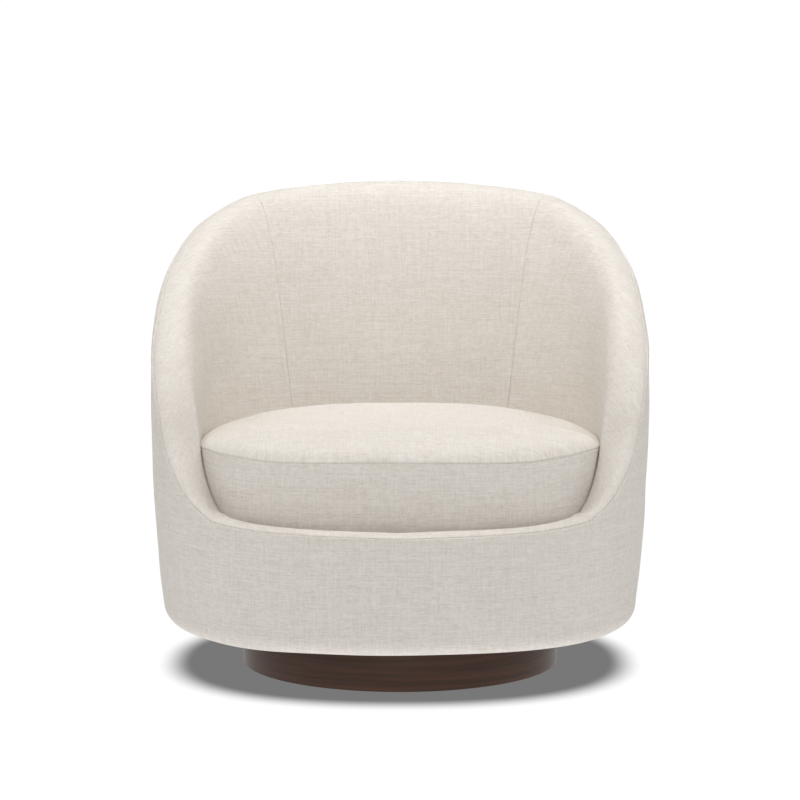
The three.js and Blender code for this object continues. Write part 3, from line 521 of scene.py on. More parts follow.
def turned_in(distance, depth):
    """How deep a sewn edge turns in, at a distance from the seam."""
    short = np.clip(depth - distance, 0, depth)
    return depth - np.sqrt(depth**2 - short**2)


def ridge(distance, middle):
    """A narrow raised line beside a seam, where the folded edges lie under the cloth."""
    half_width = 0.6 * middle
    return np.exp(-(((distance - middle) / half_width) ** 2))


def smooth_step(value, low, high):
    """0 below low, 1 above high and smooth between."""
    t = np.clip((value - low) / (high - low), 0, 1)
    return t * t * (3 - 2 * t)


WAVE_COUNT = 7
WAVE_LENGTHS = (0.07, 0.26)
WAVE_TOTAL = 2.6


def cloth_waves(u, v, seed, height):
    """Slight unevenness of cloth over padding, as a sum of waves in random directions."""
    chance = np.random.default_rng(seed)
    total = np.zeros_like(u)
    for _ in range(WAVE_COUNT):
        direction, phase = chance.uniform(0, 2 * math.pi, 2)
        count = 2 * math.pi / chance.uniform(*WAVE_LENGTHS)
        total += np.sin(count * (u * math.cos(direction) + v * math.sin(direction)) + phase)
    return height * total / WAVE_TOTAL


def add_sheet(name, points, u, v):
    """A grid laid on the points, with its UV map in metres of cloth."""
    columns, rows = points.shape[:2]
    bpy.ops.mesh.primitive_grid_add(x_subdivisions=columns - 1, y_subdivisions=rows - 1)
    sheet = bpy.context.object
    sheet.name = sheet.data.name = name
    mesh = sheet.data
    mesh.vertices.foreach_set("co", points.transpose(1, 0, 2).ravel())
    corner = np.empty(len(mesh.loops), int)
    mesh.loops.foreach_get("vertex_index", corner)
    flat = np.stack([u.T.ravel(), v.T.ravel()], -1)
    mesh.uv_layers[0].data.foreach_set("uv", flat[corner].ravel())
    mesh.update()
    bpy.ops.object.shade_smooth()
    return sheet


def thicken(piece, thickness):
    """Gives a sheet of cloth its thickness, inwards."""
    apply_modifier(piece, "SOLIDIFY", thickness=thickness, offset=-1)


def join_pieces(pieces, name):
    select_only(*pieces)
    bpy.ops.object.join()
    joined = bpy.context.object
    joined.name = joined.data.name = name
    return joined


# A sewn edge turns in over its first millimetres, so these places lie close together
SEWN_EDGE = [
    0, 0.0003, 0.0007, 0.0012, 0.0018, 0.0025, 0.0035, 0.0048, 0.0063, 0.008, 0.0098, 0.0125,
]  # fmt: skip
SEAM_DEPTH = 0.0017
ALLOWANCE_SLOPE = 0.0028
COVER_CALM = 0.03


def lay_cover(
    name, first, last, section_of, seed, spacing, depths, raised=(), waves=0.0006, from_top=False
):
    """A cover between two turns. Its section runs from one sewn edge, the start, to the other.

    depths says how far its start and end turn in, and raised gives ridges and wide allowances
    beside its edges: an edge, a distance, a height and whether it is wide. waves is the height
    of its unevenness, which fades out beside the seams.
    """
    arc = math.radians(last - first) * SHELL_HALF_WIDTH
    across = spread_places(arc, spacing, SEWN_EDGE, SEWN_EDGE)[0]
    turns = first + np.degrees(across / SHELL_HALF_WIDTH)
    line = section_of(turns)
    lengths = steps_along(line, 1)[:, -1]
    places = spread_places(lengths, spacing, SEWN_EDGE, SEWN_EDGE)
    points = to_space(along_line(line, places), turns)
    along = steps_along(points, 0)
    edges = {
        "first turn": along, "last turn": along[-1] - along,
        "start": places, "end": lengths[:, None] - places,
    }  # fmt: skip
    deep = {"first turn": SEAM_DEPTH, "last turn": SEAM_DEPTH, "start": depths[0], "end": depths[1]}
    lift = -np.maximum.reduce([turned_in(distance, deep[edge]) for edge, distance in edges.items()])
    for edge, distance, height, wide in raised:
        if wide:
            lift += height * (1 - smooth_step(edges[edge], distance, distance + ALLOWANCE_SLOPE))
        else:
            lift += height * ridge(edges[edge], distance)
    # The cloth keeps its scale: u is measured along each row from the middle of the piece
    u = along - along[len(turns) // 2]
    v = edges["end"] if from_top else edges["start"]
    nearest = np.minimum.reduce(list(edges.values()))
    lift += cloth_waves(u, v, seed, waves) * smooth_step(nearest, 0, COVER_CALM)
    return add_sheet(name, points + sheet_normals(points) * lift[..., None], u, v)


# Linen weave: each weft and warp thread grows thicker and thinner along its length, and here and
# there a darker slub shows. Every thread has its own row of noise, so a slub stays on one thread,
# and another row makes some threads darker than others over a long way.
WEFT_STRETCH = 80.0
WARP_STRETCH = 70.0
SLUB_ROWS_APART = 7.3
TONE_STRETCH = 11.0
TONE_ROWS_APART = 3.7
weave, given, result = new_group(
    "linen weave",
    {"Cloth": "Vector", "Thread": "Float", "Light": "Color", "Dark": "Color", "Slubs": "Float"},
    {"Color": "Color", "Height": "Float"},
)
axes = split_axes(weave, given["Cloth"])
rows, rounds, slubs, tones = {}, {}, {}, {}


def thread_noise(along, row, stretch, apart, *kind):
    """Noise along each thread. The rows of neighbouring threads lie this far apart in it."""
    place = join_axes(weave, X=times(weave, along, stretch), Y=times(weave, row, apart))
    return noise(weave, place, (1, 1, 1), *kind)


for across, along, stretch in (("Y", "X", WEFT_STRETCH), ("X", "Y", WARP_STRETCH)):
    count = calc(weave, "DIVIDE", axes[across], given["Thread"])
    row = calc(weave, "FLOOR", count)
    slubs[across] = thread_noise(axes[along], row, stretch, SLUB_ROWS_APART, 2.0, 0.6)
    tone = thread_noise(axes[along], row, TONE_STRETCH, TONE_ROWS_APART, 1.0)
    tones[across] = fade(weave, tone, 0.32, 0.68)
    rounds[across] = calc(weave, "SINE", times(weave, calc(weave, "FRACT", count), math.pi))
    rows[across] = row
crossing = calc(weave, "FRACT", times(weave, plus(weave, rows["X"], rows["Y"]), 0.5))
weft_over = calc(weave, "GREATER_THAN", crossing, 0.25)
warp_over = calc(weave, "SUBTRACT", 1.0, weft_over)

# The shade adds up the unevenness of the threads, their tones, faint patches and slub dashes
mixed = calc(weave, "MULTIPLY_ADD", slubs["Y"], 0.55, times(weave, slubs["X"], 0.45))
uneven = fade(weave, mixed, 0.36, 0.64)
lines = calc(weave, "MULTIPLY_ADD", tones["Y"], 0.3, times(weave, tones["X"], 0.2))
patches = fade(weave, noise(weave, given["Cloth"], (26, 34, 1), 2.0), 0.3, 0.7)
dash_shade = calc(weave, "MULTIPLY_ADD", weft_over, 0.15, 0.1)
dashes = times(weave, fade(weave, slubs["Y"], 0.58, 0.72), dash_shade)
marks = calc(weave, "MULTIPLY_ADD", patches, 0.04, dashes)
shade = calc(weave, "MULTIPLY_ADD", uneven, 0.6, plus(weave, lines, marks))
depth = calc(weave, "MINIMUM", times(weave, shade, given["Slubs"]), 1.0)
weave.links.new(blend_colours(weave, depth, given["Light"], given["Dark"]), result["Color"])
threads = times(weave, rounds["X"], rounds["Y"])
over = plus(weave, times(weave, slubs["Y"], weft_over), times(weave, slubs["X"], warp_over))
weave.links.new(plus(weave, threads, over), result["Height"])


def woven_material(name, thread, light, dark, slubs, distance, **values):
    """A cloth woven on its piece's UV map."""
    material, tree, shader = new_material(name, **values)
    on_cloth = put(tree, "ShaderNodeUVMap", {"uv_map": "UVMap"}).outputs[0]
    woven = put(
        tree, "ShaderNodeGroup", {"node_tree": weave},
        Cloth=on_cloth, Thread=thread, Light=light, Dark=dark, Slubs=slubs,
    ).outputs  # fmt: skip
    tree.links.new(woven["Color"], shader["Base Color"])
    add_bump(tree, shader, woven["Height"], distance)
    return material


linen = woven_material(
    "cream_linen", thread=0.0014, light=(0.885, 0.844, 0.788, 1), dark=(0.58, 0.51, 0.435, 1),
    slubs=0.52, distance=0.0004,
    Roughness=0.92, Specular_IOR_Level=0.2, Sheen_Weight=0.1, Sheen_Roughness=0.5,
)  # fmt: skip

OUTSIDE = {
    "section_of": outer_section, "spacing": 0.0074,
    "depths": (0.0006, 0.0014), "raised": [("end", 0.0022, 0.001, False)],
}  # fmt: skip
wrap = lay_cover("wrap", -180 - BACK_SEAM_TURN, BACK_SEAM_TURN, seed=11, **OUTSIDE)
outside_back = lay_cover("outside_back", BACK_SEAM_TURN, 180 - BACK_SEAM_TURN, seed=12, **OUTSIDE)
for piece in (wrap, outside_back):
    thicken(piece, COVER_THICKNESS)
tub_cover = join_pieces([wrap, outside_back], "tub_cover")
finish_piece(tub_cover, linen)
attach(tub_cover, "seat")
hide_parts("outer_cover")


# Inside covers
# The same cloth, padded with foam: a band over each arm that runs down into the seat well, a
# middle panel on the back between two seams, and a narrow roll in front of the cushion. Each is
# sewn to its neighbours and, under the rim, to the outer cover.

# Inside the rim the foam is worn to a soft shoulder. The cut fades out over the drop below the
# rim. The corner that it leaves is rounded by a running mean, which fades out over the reach.
SHOULDER_CUT = [(-90, 0), (-34, 0), (-14, 0.009), (35, 0.012), (90, 0.007)]
SHOULDER_DROP = 0.11
SHOULDER_ROUNDING = [(-90, 0), (-36, 0), (-12, 0.03), (90, 0.03)]
SHOULDER_REACH = 0.072
SHORTEST_MEAN = 0.001
MEAN_STEPS = 1200
# The mitre between lip and arm slants, so inside the rim the arm starts to rise a little later
MITRE_LAG = [(-90, 0), (CORNER_TURN, 0), (-44.6, 1.8), (-41.5, 0.9), (-38, 0), (90, 0)]
# Angles on the roll between which the cut and the lag come in
CUT_ANGLES = (90, 165)
LAG_ANGLES = (40, 150)
ROLL_STEPS = 80
WALL_STEPS = 60


def round_shoulder(line, length, corner):
    """Running mean of a line. At its corner it runs over this length to both sides."""
    steps = np.hypot(*np.diff(line, axis=0).T)
    place = np.concatenate([[0], np.cumsum(steps)])
    away = np.clip(np.abs(place - place[corner]) / SHOULDER_REACH, 0, 1)
    half = (length * (1 - away**2) ** 2)[:, None]
    total = np.concatenate([[[0, 0]], np.cumsum((line[1:] + line[:-1]) / 2 * steps[:, None], 0)])
    fine = np.linspace(0, place[-1], MEAN_STEPS)
    summed = [np.interp(fine, place, axis) for axis in total.T]
    before, after = (
        np.transpose([np.interp(place + side * half[:, 0], fine, axis) for axis in summed])
        for side in (-1, 1)
    )
    mean = (after - before) / np.maximum(2 * half, 1e-6)
    return np.where(half > SHORTEST_MEAN, mean, line)


def inner_section(turns):
    """Fine line from the seam over the roll and down the well's wall to the deck."""
    turns = turns[:, None]
    seam = smooth_table(SEAM_ON_ROLL, fold_turn(turns))
    rim = rim_height(turns)
    angle = seam + (180 - seam) * np.linspace(0, 1, ROLL_STEPS)
    folded = fold_turn(turns)
    lag = rim - rim_height(folded - smooth_table(MITRE_LAG, folded))
    wall = rim - lag + (COVER_FOOT - rim + lag) * np.linspace(0, 1, WALL_STEPS)[1:]
    cut = smooth_table(SHOULDER_CUT, folded)
    radius, height = roll_points(turns, angle)
    below = np.clip(1 - (rim - wall) / SHOULDER_DROP, 0, 1) ** 2
    lines = stack_line([
        (
            radius + cut * smooth_step(angle, *CUT_ANGLES),
            height - lag * smooth_step(angle, *LAG_ANGLES),
        ),
        (well_radius(turns, wall) + cut * below, wall),
    ])  # fmt: skip
    lengths = smooth_table(SHOULDER_ROUNDING, folded)[:, 0]
    corner = ROLL_STEPS - 1
    return np.stack([round_shoulder(line, length, corner) for line, length in zip(lines, lengths)])


LEFT_CORNER, LEFT_BACK_SEAM = 180 - CORNER_TURN, 180 - BACK_SEAM_TURN
MITRE_ALLOWANCE = (0.004, 0.0012, True)
BACK_ALLOWANCE = (0.0085, 0.0006, True)
FOOT_DEPTH = 0.0006
SPACING = 0.0055
# First and last turn, seed, spacing, what is raised beside the seams, and the waves' height
INSIDE_COVERS = {
    "back_pad": (BACK_SEAM_TURN, LEFT_BACK_SEAM, 21, SPACING, [], 0.0006),
    "arm_pad_right": (
        CORNER_TURN, BACK_SEAM_TURN, 22, SPACING, [("last turn", *BACK_ALLOWANCE)], 0.0006,
    ),
    "arm_pad_left": (
        LEFT_BACK_SEAM, LEFT_CORNER, 23, SPACING, [("first turn", *BACK_ALLOWANCE)], 0.0006,
    ),
    "front_lip": (
        LEFT_CORNER - 360, CORNER_TURN, 24, 0.004,
        [("first turn", *MITRE_ALLOWANCE), ("last turn", *MITRE_ALLOWANCE)], 0.0003,
    ),
}  # fmt: skip
COVERED = {
    "back_pad": ("inside_back_cover", "back_foam"),
    "arm_pad_right": ("inside_arm_cover_right", "arm_foam_right"),
    "arm_pad_left": ("inside_arm_cover_left", "arm_foam_left"),
    "front_lip": ("front_lip_cover", "front_lip_foam"),
}
for name, (first, last, seed, spacing, raised, waves) in INSIDE_COVERS.items():
    depths = (SEAM_DEPTH, FOOT_DEPTH)
    pad = lay_cover(
        name, first, last, inner_section, seed, spacing, depths, raised, waves, from_top=True
    )
    thicken(pad, COVER_THICKNESS)
    finish_piece(pad, linen)
    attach(pad, "seat")
    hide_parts(*COVERED[name])


# Deck
# A felt pad lies on the springs under plain cotton decking cloth. A border of the face fabric is
# sewn onto it all round, because that much can show beside the cushion.
PAD_BOTTOM = 0.2419
PAD_TOP = 0.2576
PAD_CORNER = 0.004
PAD_SAG = 0.0016
PAD_GAP = 0.0004
BORDER_WIDTH = 0.05
BORDER_LIFT = 0.0009
BORDER_THICKNESS = 0.0011
RIDGE_HEIGHT = 0.0004
RIDGE_PLACE = 0.003
PANEL_CALM = 0.04
TURNS = np.linspace(-90, 270, 361)[:, None]
FROM_MIDDLE = np.linspace(0, 1, 30)[:-1]


def lay_round(
    name, line, spacing, seed, sewn=(False, False), depth=0.0, waves=0.0005, strip=False
):
    """A panel all the way round the axis. sewn says whether its line starts and ends in a seam.

    A strip keeps its UV map along the turn, and any other panel takes it from above.
    """
    lengths = steps_along(line, 1)[:, -1]
    edges = [SEWN_EDGE if is_sewn else [0] for is_sewn in sewn]
    places = spread_places(lengths, spacing, *edges)
    points = to_space(along_line(line, places), TURNS[:, 0])
    ends = [places, lengths[:, None] - places]
    lift = np.zeros_like(places)
    for distance, is_sewn in zip(ends, sewn):
        if is_sewn:
            lift += RIDGE_HEIGHT * ridge(distance, RIDGE_PLACE) - turned_in(distance, depth)
    across = np.roll(points[:-1], -1, 0) - np.roll(points[:-1], 1, 0)
    normal = np.cross(np.concatenate([across, across[:1]]), np.gradient(points, axis=1))
    for pole, beside in ((0, 1), (-1, -2)):
        if line[0, pole, 0] == 0:
            normal[:, pole] = normal[:, beside].mean(0)
    normal /= np.linalg.norm(normal, axis=2, keepdims=True)
    moving = smooth_step(np.minimum(*ends), 0, PANEL_CALM) if any(sewn) else 1
    x, y, z = np.moveaxis(points, -1, 0)
    lift += cloth_waves(x, y + z, seed, waves) * moving
    along = steps_along(points, 0)[:, points.shape[1] // 2, None]
    u, v = (np.broadcast_to(along, places.shape), places) if strip else (x, y)
    points = points + normal * lift[..., None]
    points[-1] = points[0]
    return add_sheet(name, points, u, v)


def read_places(piece):
    """A piece's vertices, one in each row."""
    places = np.empty(len(piece.data.vertices) * 3)
    piece.data.vertices.foreach_get("co", places)
    return places.reshape(-1, 3)


def write_places(piece, places):
    piece.data.vertices.foreach_set("co", places.ravel())
    piece.data.update()


def close_seams(piece):
    """Merges what meets at the poles and along the seams of a piece."""
    select_only(piece)
    bpy.ops.object.mode_set(mode="EDIT")
    bpy.ops.mesh.select_all(action="SELECT")
    bpy.ops.mesh.remove_doubles(threshold=0.00002)
    bpy.ops.object.mode_set(mode="OBJECT")


pad_edge = well_radius(TURNS, PAD_BOTTOM) - PAD_GAP
corner = np.radians(np.linspace(0, 90, 6))
inwards = np.linspace(1, 0, 60)[1:]
pad_line = stack_line([
    ((pad_edge - PAD_CORNER) * FROM_MIDDLE, np.full_like(FROM_MIDDLE, PAD_BOTTOM)),
    (pad_edge - PAD_CORNER * (1 - np.sin(corner)), PAD_BOTTOM + PAD_CORNER * (1 - np.cos(corner))),
    (pad_edge - PAD_CORNER * (1 - np.cos(corner)), PAD_TOP - PAD_CORNER * (1 - np.sin(corner))),
    ((pad_edge - PAD_CORNER) * inwards, PAD_TOP - PAD_SAG * (1 - inwards**2)),
])  # fmt: skip
pad = lay_round("pad", pad_line, 0.0085, 41, waves=0.0003)
close_seams(pad)
outer_share = np.linspace(1, 0, 12)
share = outer_share + (1 - outer_share) * (1 - BORDER_WIDTH / pad_edge)
border_height = PAD_TOP + BORDER_LIFT - PAD_SAG * (1 - share**2)
border_line = stack_line([((pad_edge - PAD_CORNER) * share, border_height)])
border = lay_round(
    "border", border_line, 0.006, 42, (False, True), depth=0.0008, waves=0.0, strip=True
)
thicken(border, BORDER_THICKNESS)
decking = woven_material(
    "cotton_decking", thread=0.0009, light=(0.66, 0.62, 0.55, 1), dark=(0.5, 0.45, 0.38, 1),
    slubs=0.35, distance=0.00012, Roughness=0.95, Specular_IOR_Level=0.2,
)  # fmt: skip
finish_piece(pad, decking)
finish_piece(border, linen)
deck = join_pieces([pad, border], "deck_cloth")
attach(deck, "seat")
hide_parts("deck_pad")


# Seat cushion
# A loose boxed cushion: a crowned top panel and a flat bottom panel, sewn to a boxing strip
# that follows the well, over a foam core wrapped in fibre. A zip closes the back of the boxing.

# Pressed against the arms and the lip, and free of the back, where the zip is
CUSHION_GAP = [(-90, -0.0005), (20, -0.0005), (60, 0.0035), (90, 0.004)]
CUSHION_CROWN = 0.4048
SEAM_DRAW_IN = 0.0009
EDGE_DROP = 0.005
CUSHION_SEAM_DEPTH = 0.0011
# The upper seam dips toward the back, and the top bulges most over the front of it
SEAM_HEIGHT = [
    (-90, 0.371), (-70, 0.369), (-60, 0.3685), (-48, 0.3725), (-38, 0.373), (-28, 0.3695),
    (-12, 0.3645), (20, 0.362), (90, 0.362),
]  # fmt: skip
CROWN_FLATNESS = [(-90, 15), (-62, 13), (-45, 11), (-32, 8), (-18, 4.8), (90, 5)]
CROWN_ROUNDNESS = [(-90, 0.5), (-45, 0.5), (-32, 0.55), (-14, 0.8), (90, 0.82)]
BOXING_BULGE_POWER = 0.6
SEAM_CROWDING = 2.4


def cushion_edge(turns, height):
    """Radius of a seam of the cushion at a height."""
    return well_radius(turns, height) - smooth_table(CUSHION_GAP, fold_turn(turns)) - SEAM_DRAW_IN


def cushion_side(turns, share):
    """Radius and height on the boxing: share 0 is its lower seam and 1 its upper seam."""
    bottom = DECK_HEIGHT + EDGE_DROP
    height = bottom + (smooth_table(SEAM_HEIGHT, fold_turn(turns)) - bottom) * share
    bulge = np.sin(np.clip(share, 0, 1) * math.pi) ** BOXING_BULGE_POWER
    return cushion_edge(turns, height) + SEAM_DRAW_IN * bulge, height


def cushion_lines():
    """Lines of the bottom panel, the boxing and the top panel, from the middle to the middle."""
    edge = cushion_edge(TURNS, DECK_HEIGHT)
    turn_up = np.radians(np.linspace(0, 90, 10))
    bottom = stack_line([
        ((edge - EDGE_DROP) * FROM_MIDDLE, np.full_like(FROM_MIDDLE, DECK_HEIGHT)),
        (edge - EDGE_DROP * (1 - np.sin(turn_up)), DECK_HEIGHT + EDGE_DROP * (1 - np.cos(turn_up))),
    ])  # fmt: skip
    boxing = stack_line([cushion_side(TURNS, np.linspace(0, 1, 61))])
    rim, seam = boxing[:, -1:, 0], boxing[:, -1:, 1]
    inwards = 1 - np.linspace(0, 1, 181) ** SEAM_CROWDING
    flatness = smooth_table(CROWN_FLATNESS, fold_turn(TURNS))
    crown = (1 - inwards**flatness) ** smooth_table(CROWN_ROUNDNESS, fold_turn(TURNS))
    return bottom, boxing, stack_line([(rim * inwards, seam + (CUSHION_CROWN - seam) * crown)])


FILLING_PRESSURE = 1.5
FILLING_LIMIT = 0.006
FILLING_FRAMES = 20
FILLING_FADE = (-0.03, 0.08)
COARSENESS = 0.009
HELD_BESIDE_SEAM = 0.009
HELD_OVER_DECK = 0.008
NEIGHBOURS = 10
NEIGHBOUR_BLUR = 0.004


def is_held(place):
    """Whether sewing or the deck holds the cushion: at its upper seam and all over its bottom."""
    rim, seam = cushion_side(math.degrees(math.atan2(place.y, place.x)), 1)
    from_seam = math.hypot(math.hypot(place.x, place.y) - rim, place.z - seam)
    return from_seam < HELD_BESIDE_SEAM or place.z < DECK_HEIGHT + HELD_OVER_DECK


def blow_up(bag):
    """Fills a bag by pressure between its seams. Gives its places before and their moves."""
    before = [vertex.co.copy() for vertex in bag.data.vertices]
    held = bag.vertex_groups.new(name="sewn")
    held.add([i for i, place in enumerate(before) if is_held(place)], 1.0, "REPLACE")
    cloth = bag.modifiers.new("filling", "CLOTH").settings
    cloth.quality = 6
    cloth.mass = 0.25
    cloth.tension_stiffness = cloth.compression_stiffness = 30
    cloth.bending_stiffness = 1.5
    cloth.use_pressure = True
    cloth.uniform_pressure_force = FILLING_PRESSURE
    cloth.vertex_group_mass = held.name
    cloth.effector_weights.gravity = 0
    for step in range(1, FILLING_FRAMES + 1):
        bpy.context.scene.frame_set(step)
    filled = bag.evaluated_get(bpy.context.evaluated_depsgraph_get()).data
    moves = np.array([vertex.co - start for vertex, start in zip(filled.vertices, before)])
    bpy.context.scene.frame_set(1)
    return before, moves


def fill_cushion(cushion):
    """The cushion's places, moved along with a coarse copy of it that is blown up."""
    select_only(cushion)
    bpy.ops.object.duplicate()
    bag = bpy.context.object
    bag.data.remesh_voxel_size = COARSENESS
    bpy.ops.object.voxel_remesh()
    before, moves = blow_up(bag)
    bpy.data.objects.remove(bag)
    size = np.linalg.norm(moves, axis=1, keepdims=True)
    moves *= np.minimum(1, FILLING_LIMIT / np.maximum(size, 1e-9))
    # The foam keeps the edge of the top in shape
    x, y, z = np.array(before).T
    inwards = cushion_edge(np.degrees(np.arctan2(y, x)), z) - np.hypot(x, y)
    moves *= smooth_step(inwards, *FILLING_FADE)[:, None]
    near = KDTree(len(before))
    for i, place in enumerate(before):
        near.insert(place, i)
    near.balance()
    moved = read_places(cushion)
    for place in moved:
        _, found, distances = zip(*near.find_n(place, NEIGHBOURS))
        weight = 1 / (np.array(distances) + NEIGHBOUR_BLUR) ** 2
        place += (moves[list(found)] * weight[:, None]).sum(0) / weight.sum()
    return moved


bottom_line, boxing_line, top_line = cushion_lines()
sewn_in = {"spacing": SPACING, "depth": CUSHION_SEAM_DEPTH}
panels = [
    lay_round("cushion_bottom", bottom_line, seed=31, sewn=(False, True), **sewn_in),
    lay_round("cushion_boxing", boxing_line, seed=32, sewn=(True, True), strip=True, **sewn_in),
    lay_round("cushion_top", top_line, seed=33, sewn=(True, False), **sewn_in),
]
cushion = join_pieces(panels, "boxed_cushion")
close_seams(cushion)
filled = fill_cushion(cushion)
# The well's wall and the deck hold it in
x, y, z = filled.T
wall = cushion_edge(np.degrees(np.arctan2(y, x)), z) + SEAM_DRAW_IN
filled[:, :2] *= np.minimum(1, wall / np.maximum(np.hypot(x, y), 0.001))[:, None]
filled[:, 2] = np.maximum(z, DECK_HEIGHT)
write_places(cushion, filled)
finish_piece(cushion, linen)
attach(cushion, "seat_cushion")
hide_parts("cushion_core", "cushion_bottom_panel", "cushion_boxing", "cushion_top_panel")


# Zip
# A moulded zip on cream tape closes the back of the boxing. The steel slider's pull hangs on it
# near one end. It is built flat, along X with Y outwards, and then laid onto the boxing.
ZIP_LENGTH = 0.36
ZIP_WIDTH = 0.013
ZIP_HEIGHT = 0.309
TAPE_TOP = 0.0009
TAPE_THICKNESS = 0.0008
TOOTH_PITCH = 0.0024
TOOTH_SIZE = (0.0014, 0.0009, 0.0034)
TOOTH_CENTRE = 0.0012
ROW_OFFSET = 0.0009
PULL_INSET = 0.018


def shape_block(size, place, edge):
    """A small block with bevelled edges."""
    bpy.ops.mesh.primitive_cube_add(size=1, location=place)
    block = bpy.context.object
    block.scale = size
    bpy.ops.object.transform_apply(location=True, rotation=False, scale=True)
    apply_modifier(block, "BEVEL", width=edge)
    return block


def lay_on_boxing(piece):
    """Bends a flat piece round onto the back of the boxing."""
    x, y, z = read_places(piece).T
    turn = 90 - np.degrees(x / float(cushion_edge(90, ZIP_HEIGHT)))
    radius = cushion_edge(turn, ZIP_HEIGHT + z) + SEAM_DRAW_IN + y
    angle = np.radians(turn)
    laid = np.stack([radius * np.cos(angle), radius * np.sin(angle), ZIP_HEIGHT + z], -1)
    write_places(piece, laid)


x, z = np.meshgrid(
    np.linspace(0.5, -0.5, 121) * ZIP_LENGTH, np.linspace(-0.5, 0.5, 9) * ZIP_WIDTH, indexing="ij"
)
tape = add_sheet("zip_tape", np.stack([x, np.full_like(x, TAPE_TOP), z], -1), x, z)
thicken(tape, TAPE_THICKNESS)
zip_tape = woven_material(
    "zip_tape", thread=0.0005, light=(0.72, 0.68, 0.61, 1), dark=(0.55, 0.5, 0.43, 1),
    slubs=0.4, distance=0.0001, Roughness=0.8,
)  # fmt: skip
finish_piece(tape, zip_tape)
moulded, tree, shader = new_material("cream_plastic", Roughness=0.4)
specks = noise(tree, object_place(tree), (900, 900, 900), 3.0)
set_colour(tree, shader, specks, (0.62, 0.57, 0.49, 1), (0.74, 0.7, 0.62, 1))
add_bump(tree, shader, specks, 0.00004)
tooth_rows = []
for side in (-1, 1):
    # The two rows' teeth stand half a pitch apart, so each closes a gap of the other
    start = TOOTH_PITCH * (2 + side) / 4 - ZIP_LENGTH / 2
    row = shape_block(TOOTH_SIZE, (start, TOOTH_CENTRE, side * ROW_OFFSET), edge=0.0003)
    apply_modifier(
        row, "ARRAY", count=round(ZIP_LENGTH / TOOTH_PITCH), use_relative_offset=False,
        use_constant_offset=True, constant_offset_displace=(TOOTH_PITCH, 0, 0),
    )  # fmt: skip
    finish_piece(row, moulded)
    tooth_rows.append(row)
cushion_zip = join_pieces([tape, *tooth_rows], "coil_zip")
lay_on_boxing(cushion_zip)
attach(cushion_zip, "seat_cushion")
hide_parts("cushion_zip")

pull_place = ZIP_LENGTH / 2 - PULL_INSET
slider = shape_block((0.008, 0.0022, 0.0095), (pull_place, 0.0017, 0), edge=0.0007)
bridge = shape_block((0.0024, 0.0006, 0.007), (pull_place, 0.003, 0), edge=0.0002)
tab = shape_block((0.0056, 0.0008, 0.02), (pull_place, 0.0031, -0.0125), edge=0.0003)
zip_slider = join_pieces([slider, bridge, tab], "zip_slider")
finish_piece(zip_slider, steel)
lay_on_boxing(zip_slider)
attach(zip_slider, "seat_cushion")
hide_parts("zip_pull")


# Floor and light
# A plain white floor under a white studio, with the soft grey shade that the tub throws straight
# down round the plinth. Wide soft lights hang over the chair's front and back and to both sides
# of it, and one stands in front.
bpy.ops.mesh.primitive_plane_add(size=30, location=(0, 0, 0))
floor = bpy.context.object
floor.name = "floor"
# Half widths and half depths between which the shade fades out, and the power of its plan
SHADE_INNER = (0.338, 0.306)
SHADE_OUTER = (0.400, 0.390)
SHADE_POWER = 2.3
SHADE_COLOUR = (0.184, 0.184, 0.184, 1)
# How bright the studio is: to the camera, and of its floor and walls to cloth and to lacquer
SEEN_GLOW = 1.02
FLOOR_GLOW = (1.18, 0.55)
WALL_GLOW = (0.0, 0.5)
white_floor = bpy.data.materials.new("white_floor")
white_floor.use_nodes = True
tree = white_floor.node_tree
tree.nodes.clear()


def shade_distance(tree, spot, half_sizes):
    """Distance from the middle of the shade, as a share of its own size."""
    shares = [calc(tree, "DIVIDE", spot[axis], half) for axis, half in zip("XY", half_sizes)]
    parts = [calc(tree, "POWER", calc(tree, "ABSOLUTE", k), SHADE_POWER) for k in shares]
    return calc(tree, "POWER", plus(tree, *parts), 1 / SHADE_POWER)


def studio_glow(tree, soft, glossy):
    """The studio's brightness as the cloth gets it, as lacquer mirrors it and as it is seen."""
    ray = put(tree, "ShaderNodeLightPath").outputs
    mirrored = calc(tree, "MULTIPLY_ADD", ray["Is Glossy Ray"], glossy - soft, soft)
    return calc(tree, "MULTIPLY_ADD", ray["Is Camera Ray"], SEEN_GLOW - soft, mirrored)


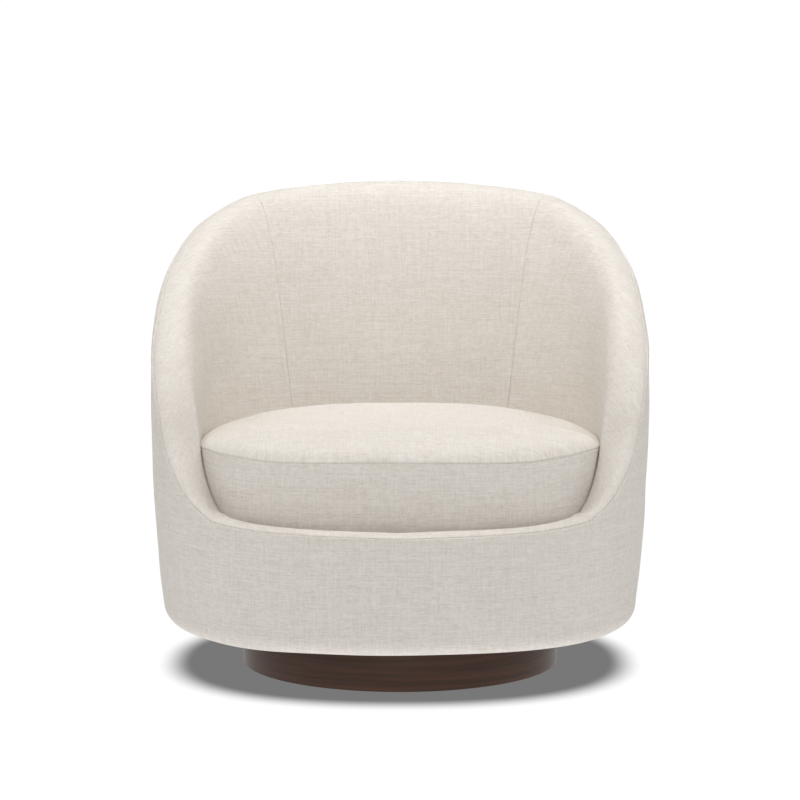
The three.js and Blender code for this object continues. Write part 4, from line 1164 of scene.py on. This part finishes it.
spot = split_axes(tree, object_place(tree))
past_inner = calc(tree, "SUBTRACT", shade_distance(tree, spot, SHADE_INNER), 1.0)
to_outer = calc(tree, "SUBTRACT", 1.0, shade_distance(tree, spot, SHADE_OUTER))
between = calc(tree, "DIVIDE", past_inner, plus(tree, past_inner, to_outer))
lit = fade(tree, between, 0.0, 1.0)
lit = times(tree, lit, calc(tree, "GREATER_THAN", past_inner, 0.0))
lit = calc(tree, "MAXIMUM", lit, calc(tree, "LESS_THAN", to_outer, 0.0))
# Only the camera sees the shade
unseen = calc(tree, "SUBTRACT", 1.0, put(tree, "ShaderNodeLightPath").outputs["Is Camera Ray"])
lit = calc(tree, "MAXIMUM", lit, unseen)
shaded = blend_colours(tree, lit, SHADE_COLOUR, (1, 1, 1, 1))
glow = put(tree, "ShaderNodeEmission", Color=shaded)
tree.links.new(studio_glow(tree, *FLOOR_GLOW), glow.inputs["Strength"])
tree.links.new(glow.outputs[0], tree.nodes.new("ShaderNodeOutputMaterial").inputs["Surface"])
finish_piece(floor, white_floor)

studio = bpy.data.worlds.new("studio")
bpy.context.scene.world = studio
studio.use_nodes = True
sky = studio.node_tree.nodes["Background"].inputs
sky["Color"].default_value = (1, 1, 1, 1)
studio.node_tree.links.new(studio_glow(studio.node_tree, *WALL_GLOW), sky["Strength"])


def add_softbox(name, location, target, size, power):
    """A square soft light that faces a target."""
    bpy.ops.object.light_add(type="AREA", location=location)
    light = bpy.context.object
    light.name = name
    light.data.size = size
    light.data.energy = power
    x, y, z = np.array(target) - np.array(location)
    tilt = math.atan2(math.hypot(x, y), -z)
    light.rotation_euler = (tilt, 0, math.atan2(x, -y) + math.pi)


add_softbox("overhead_light", (0, -0.7, 2.6), (0, -0.1, 0.4), 2.0, 41)
add_softbox("back_light", (0, 0.7, 2.6), (0, 0, 0.4), 2.0, 15)
add_softbox("front_light", (0, -3.6, 1.4), (0, 0, 0.4), 2.4, 18)
add_softbox("left_light", (-2.0, -0.4, 2.0), (0, 0, 0.5), 1.6, 17)
add_softbox("right_light", (2.0, -0.4, 2.0), (0, 0, 0.5), 1.6, 17)
bpy.context.scene.view_settings.view_transform = "Standard"
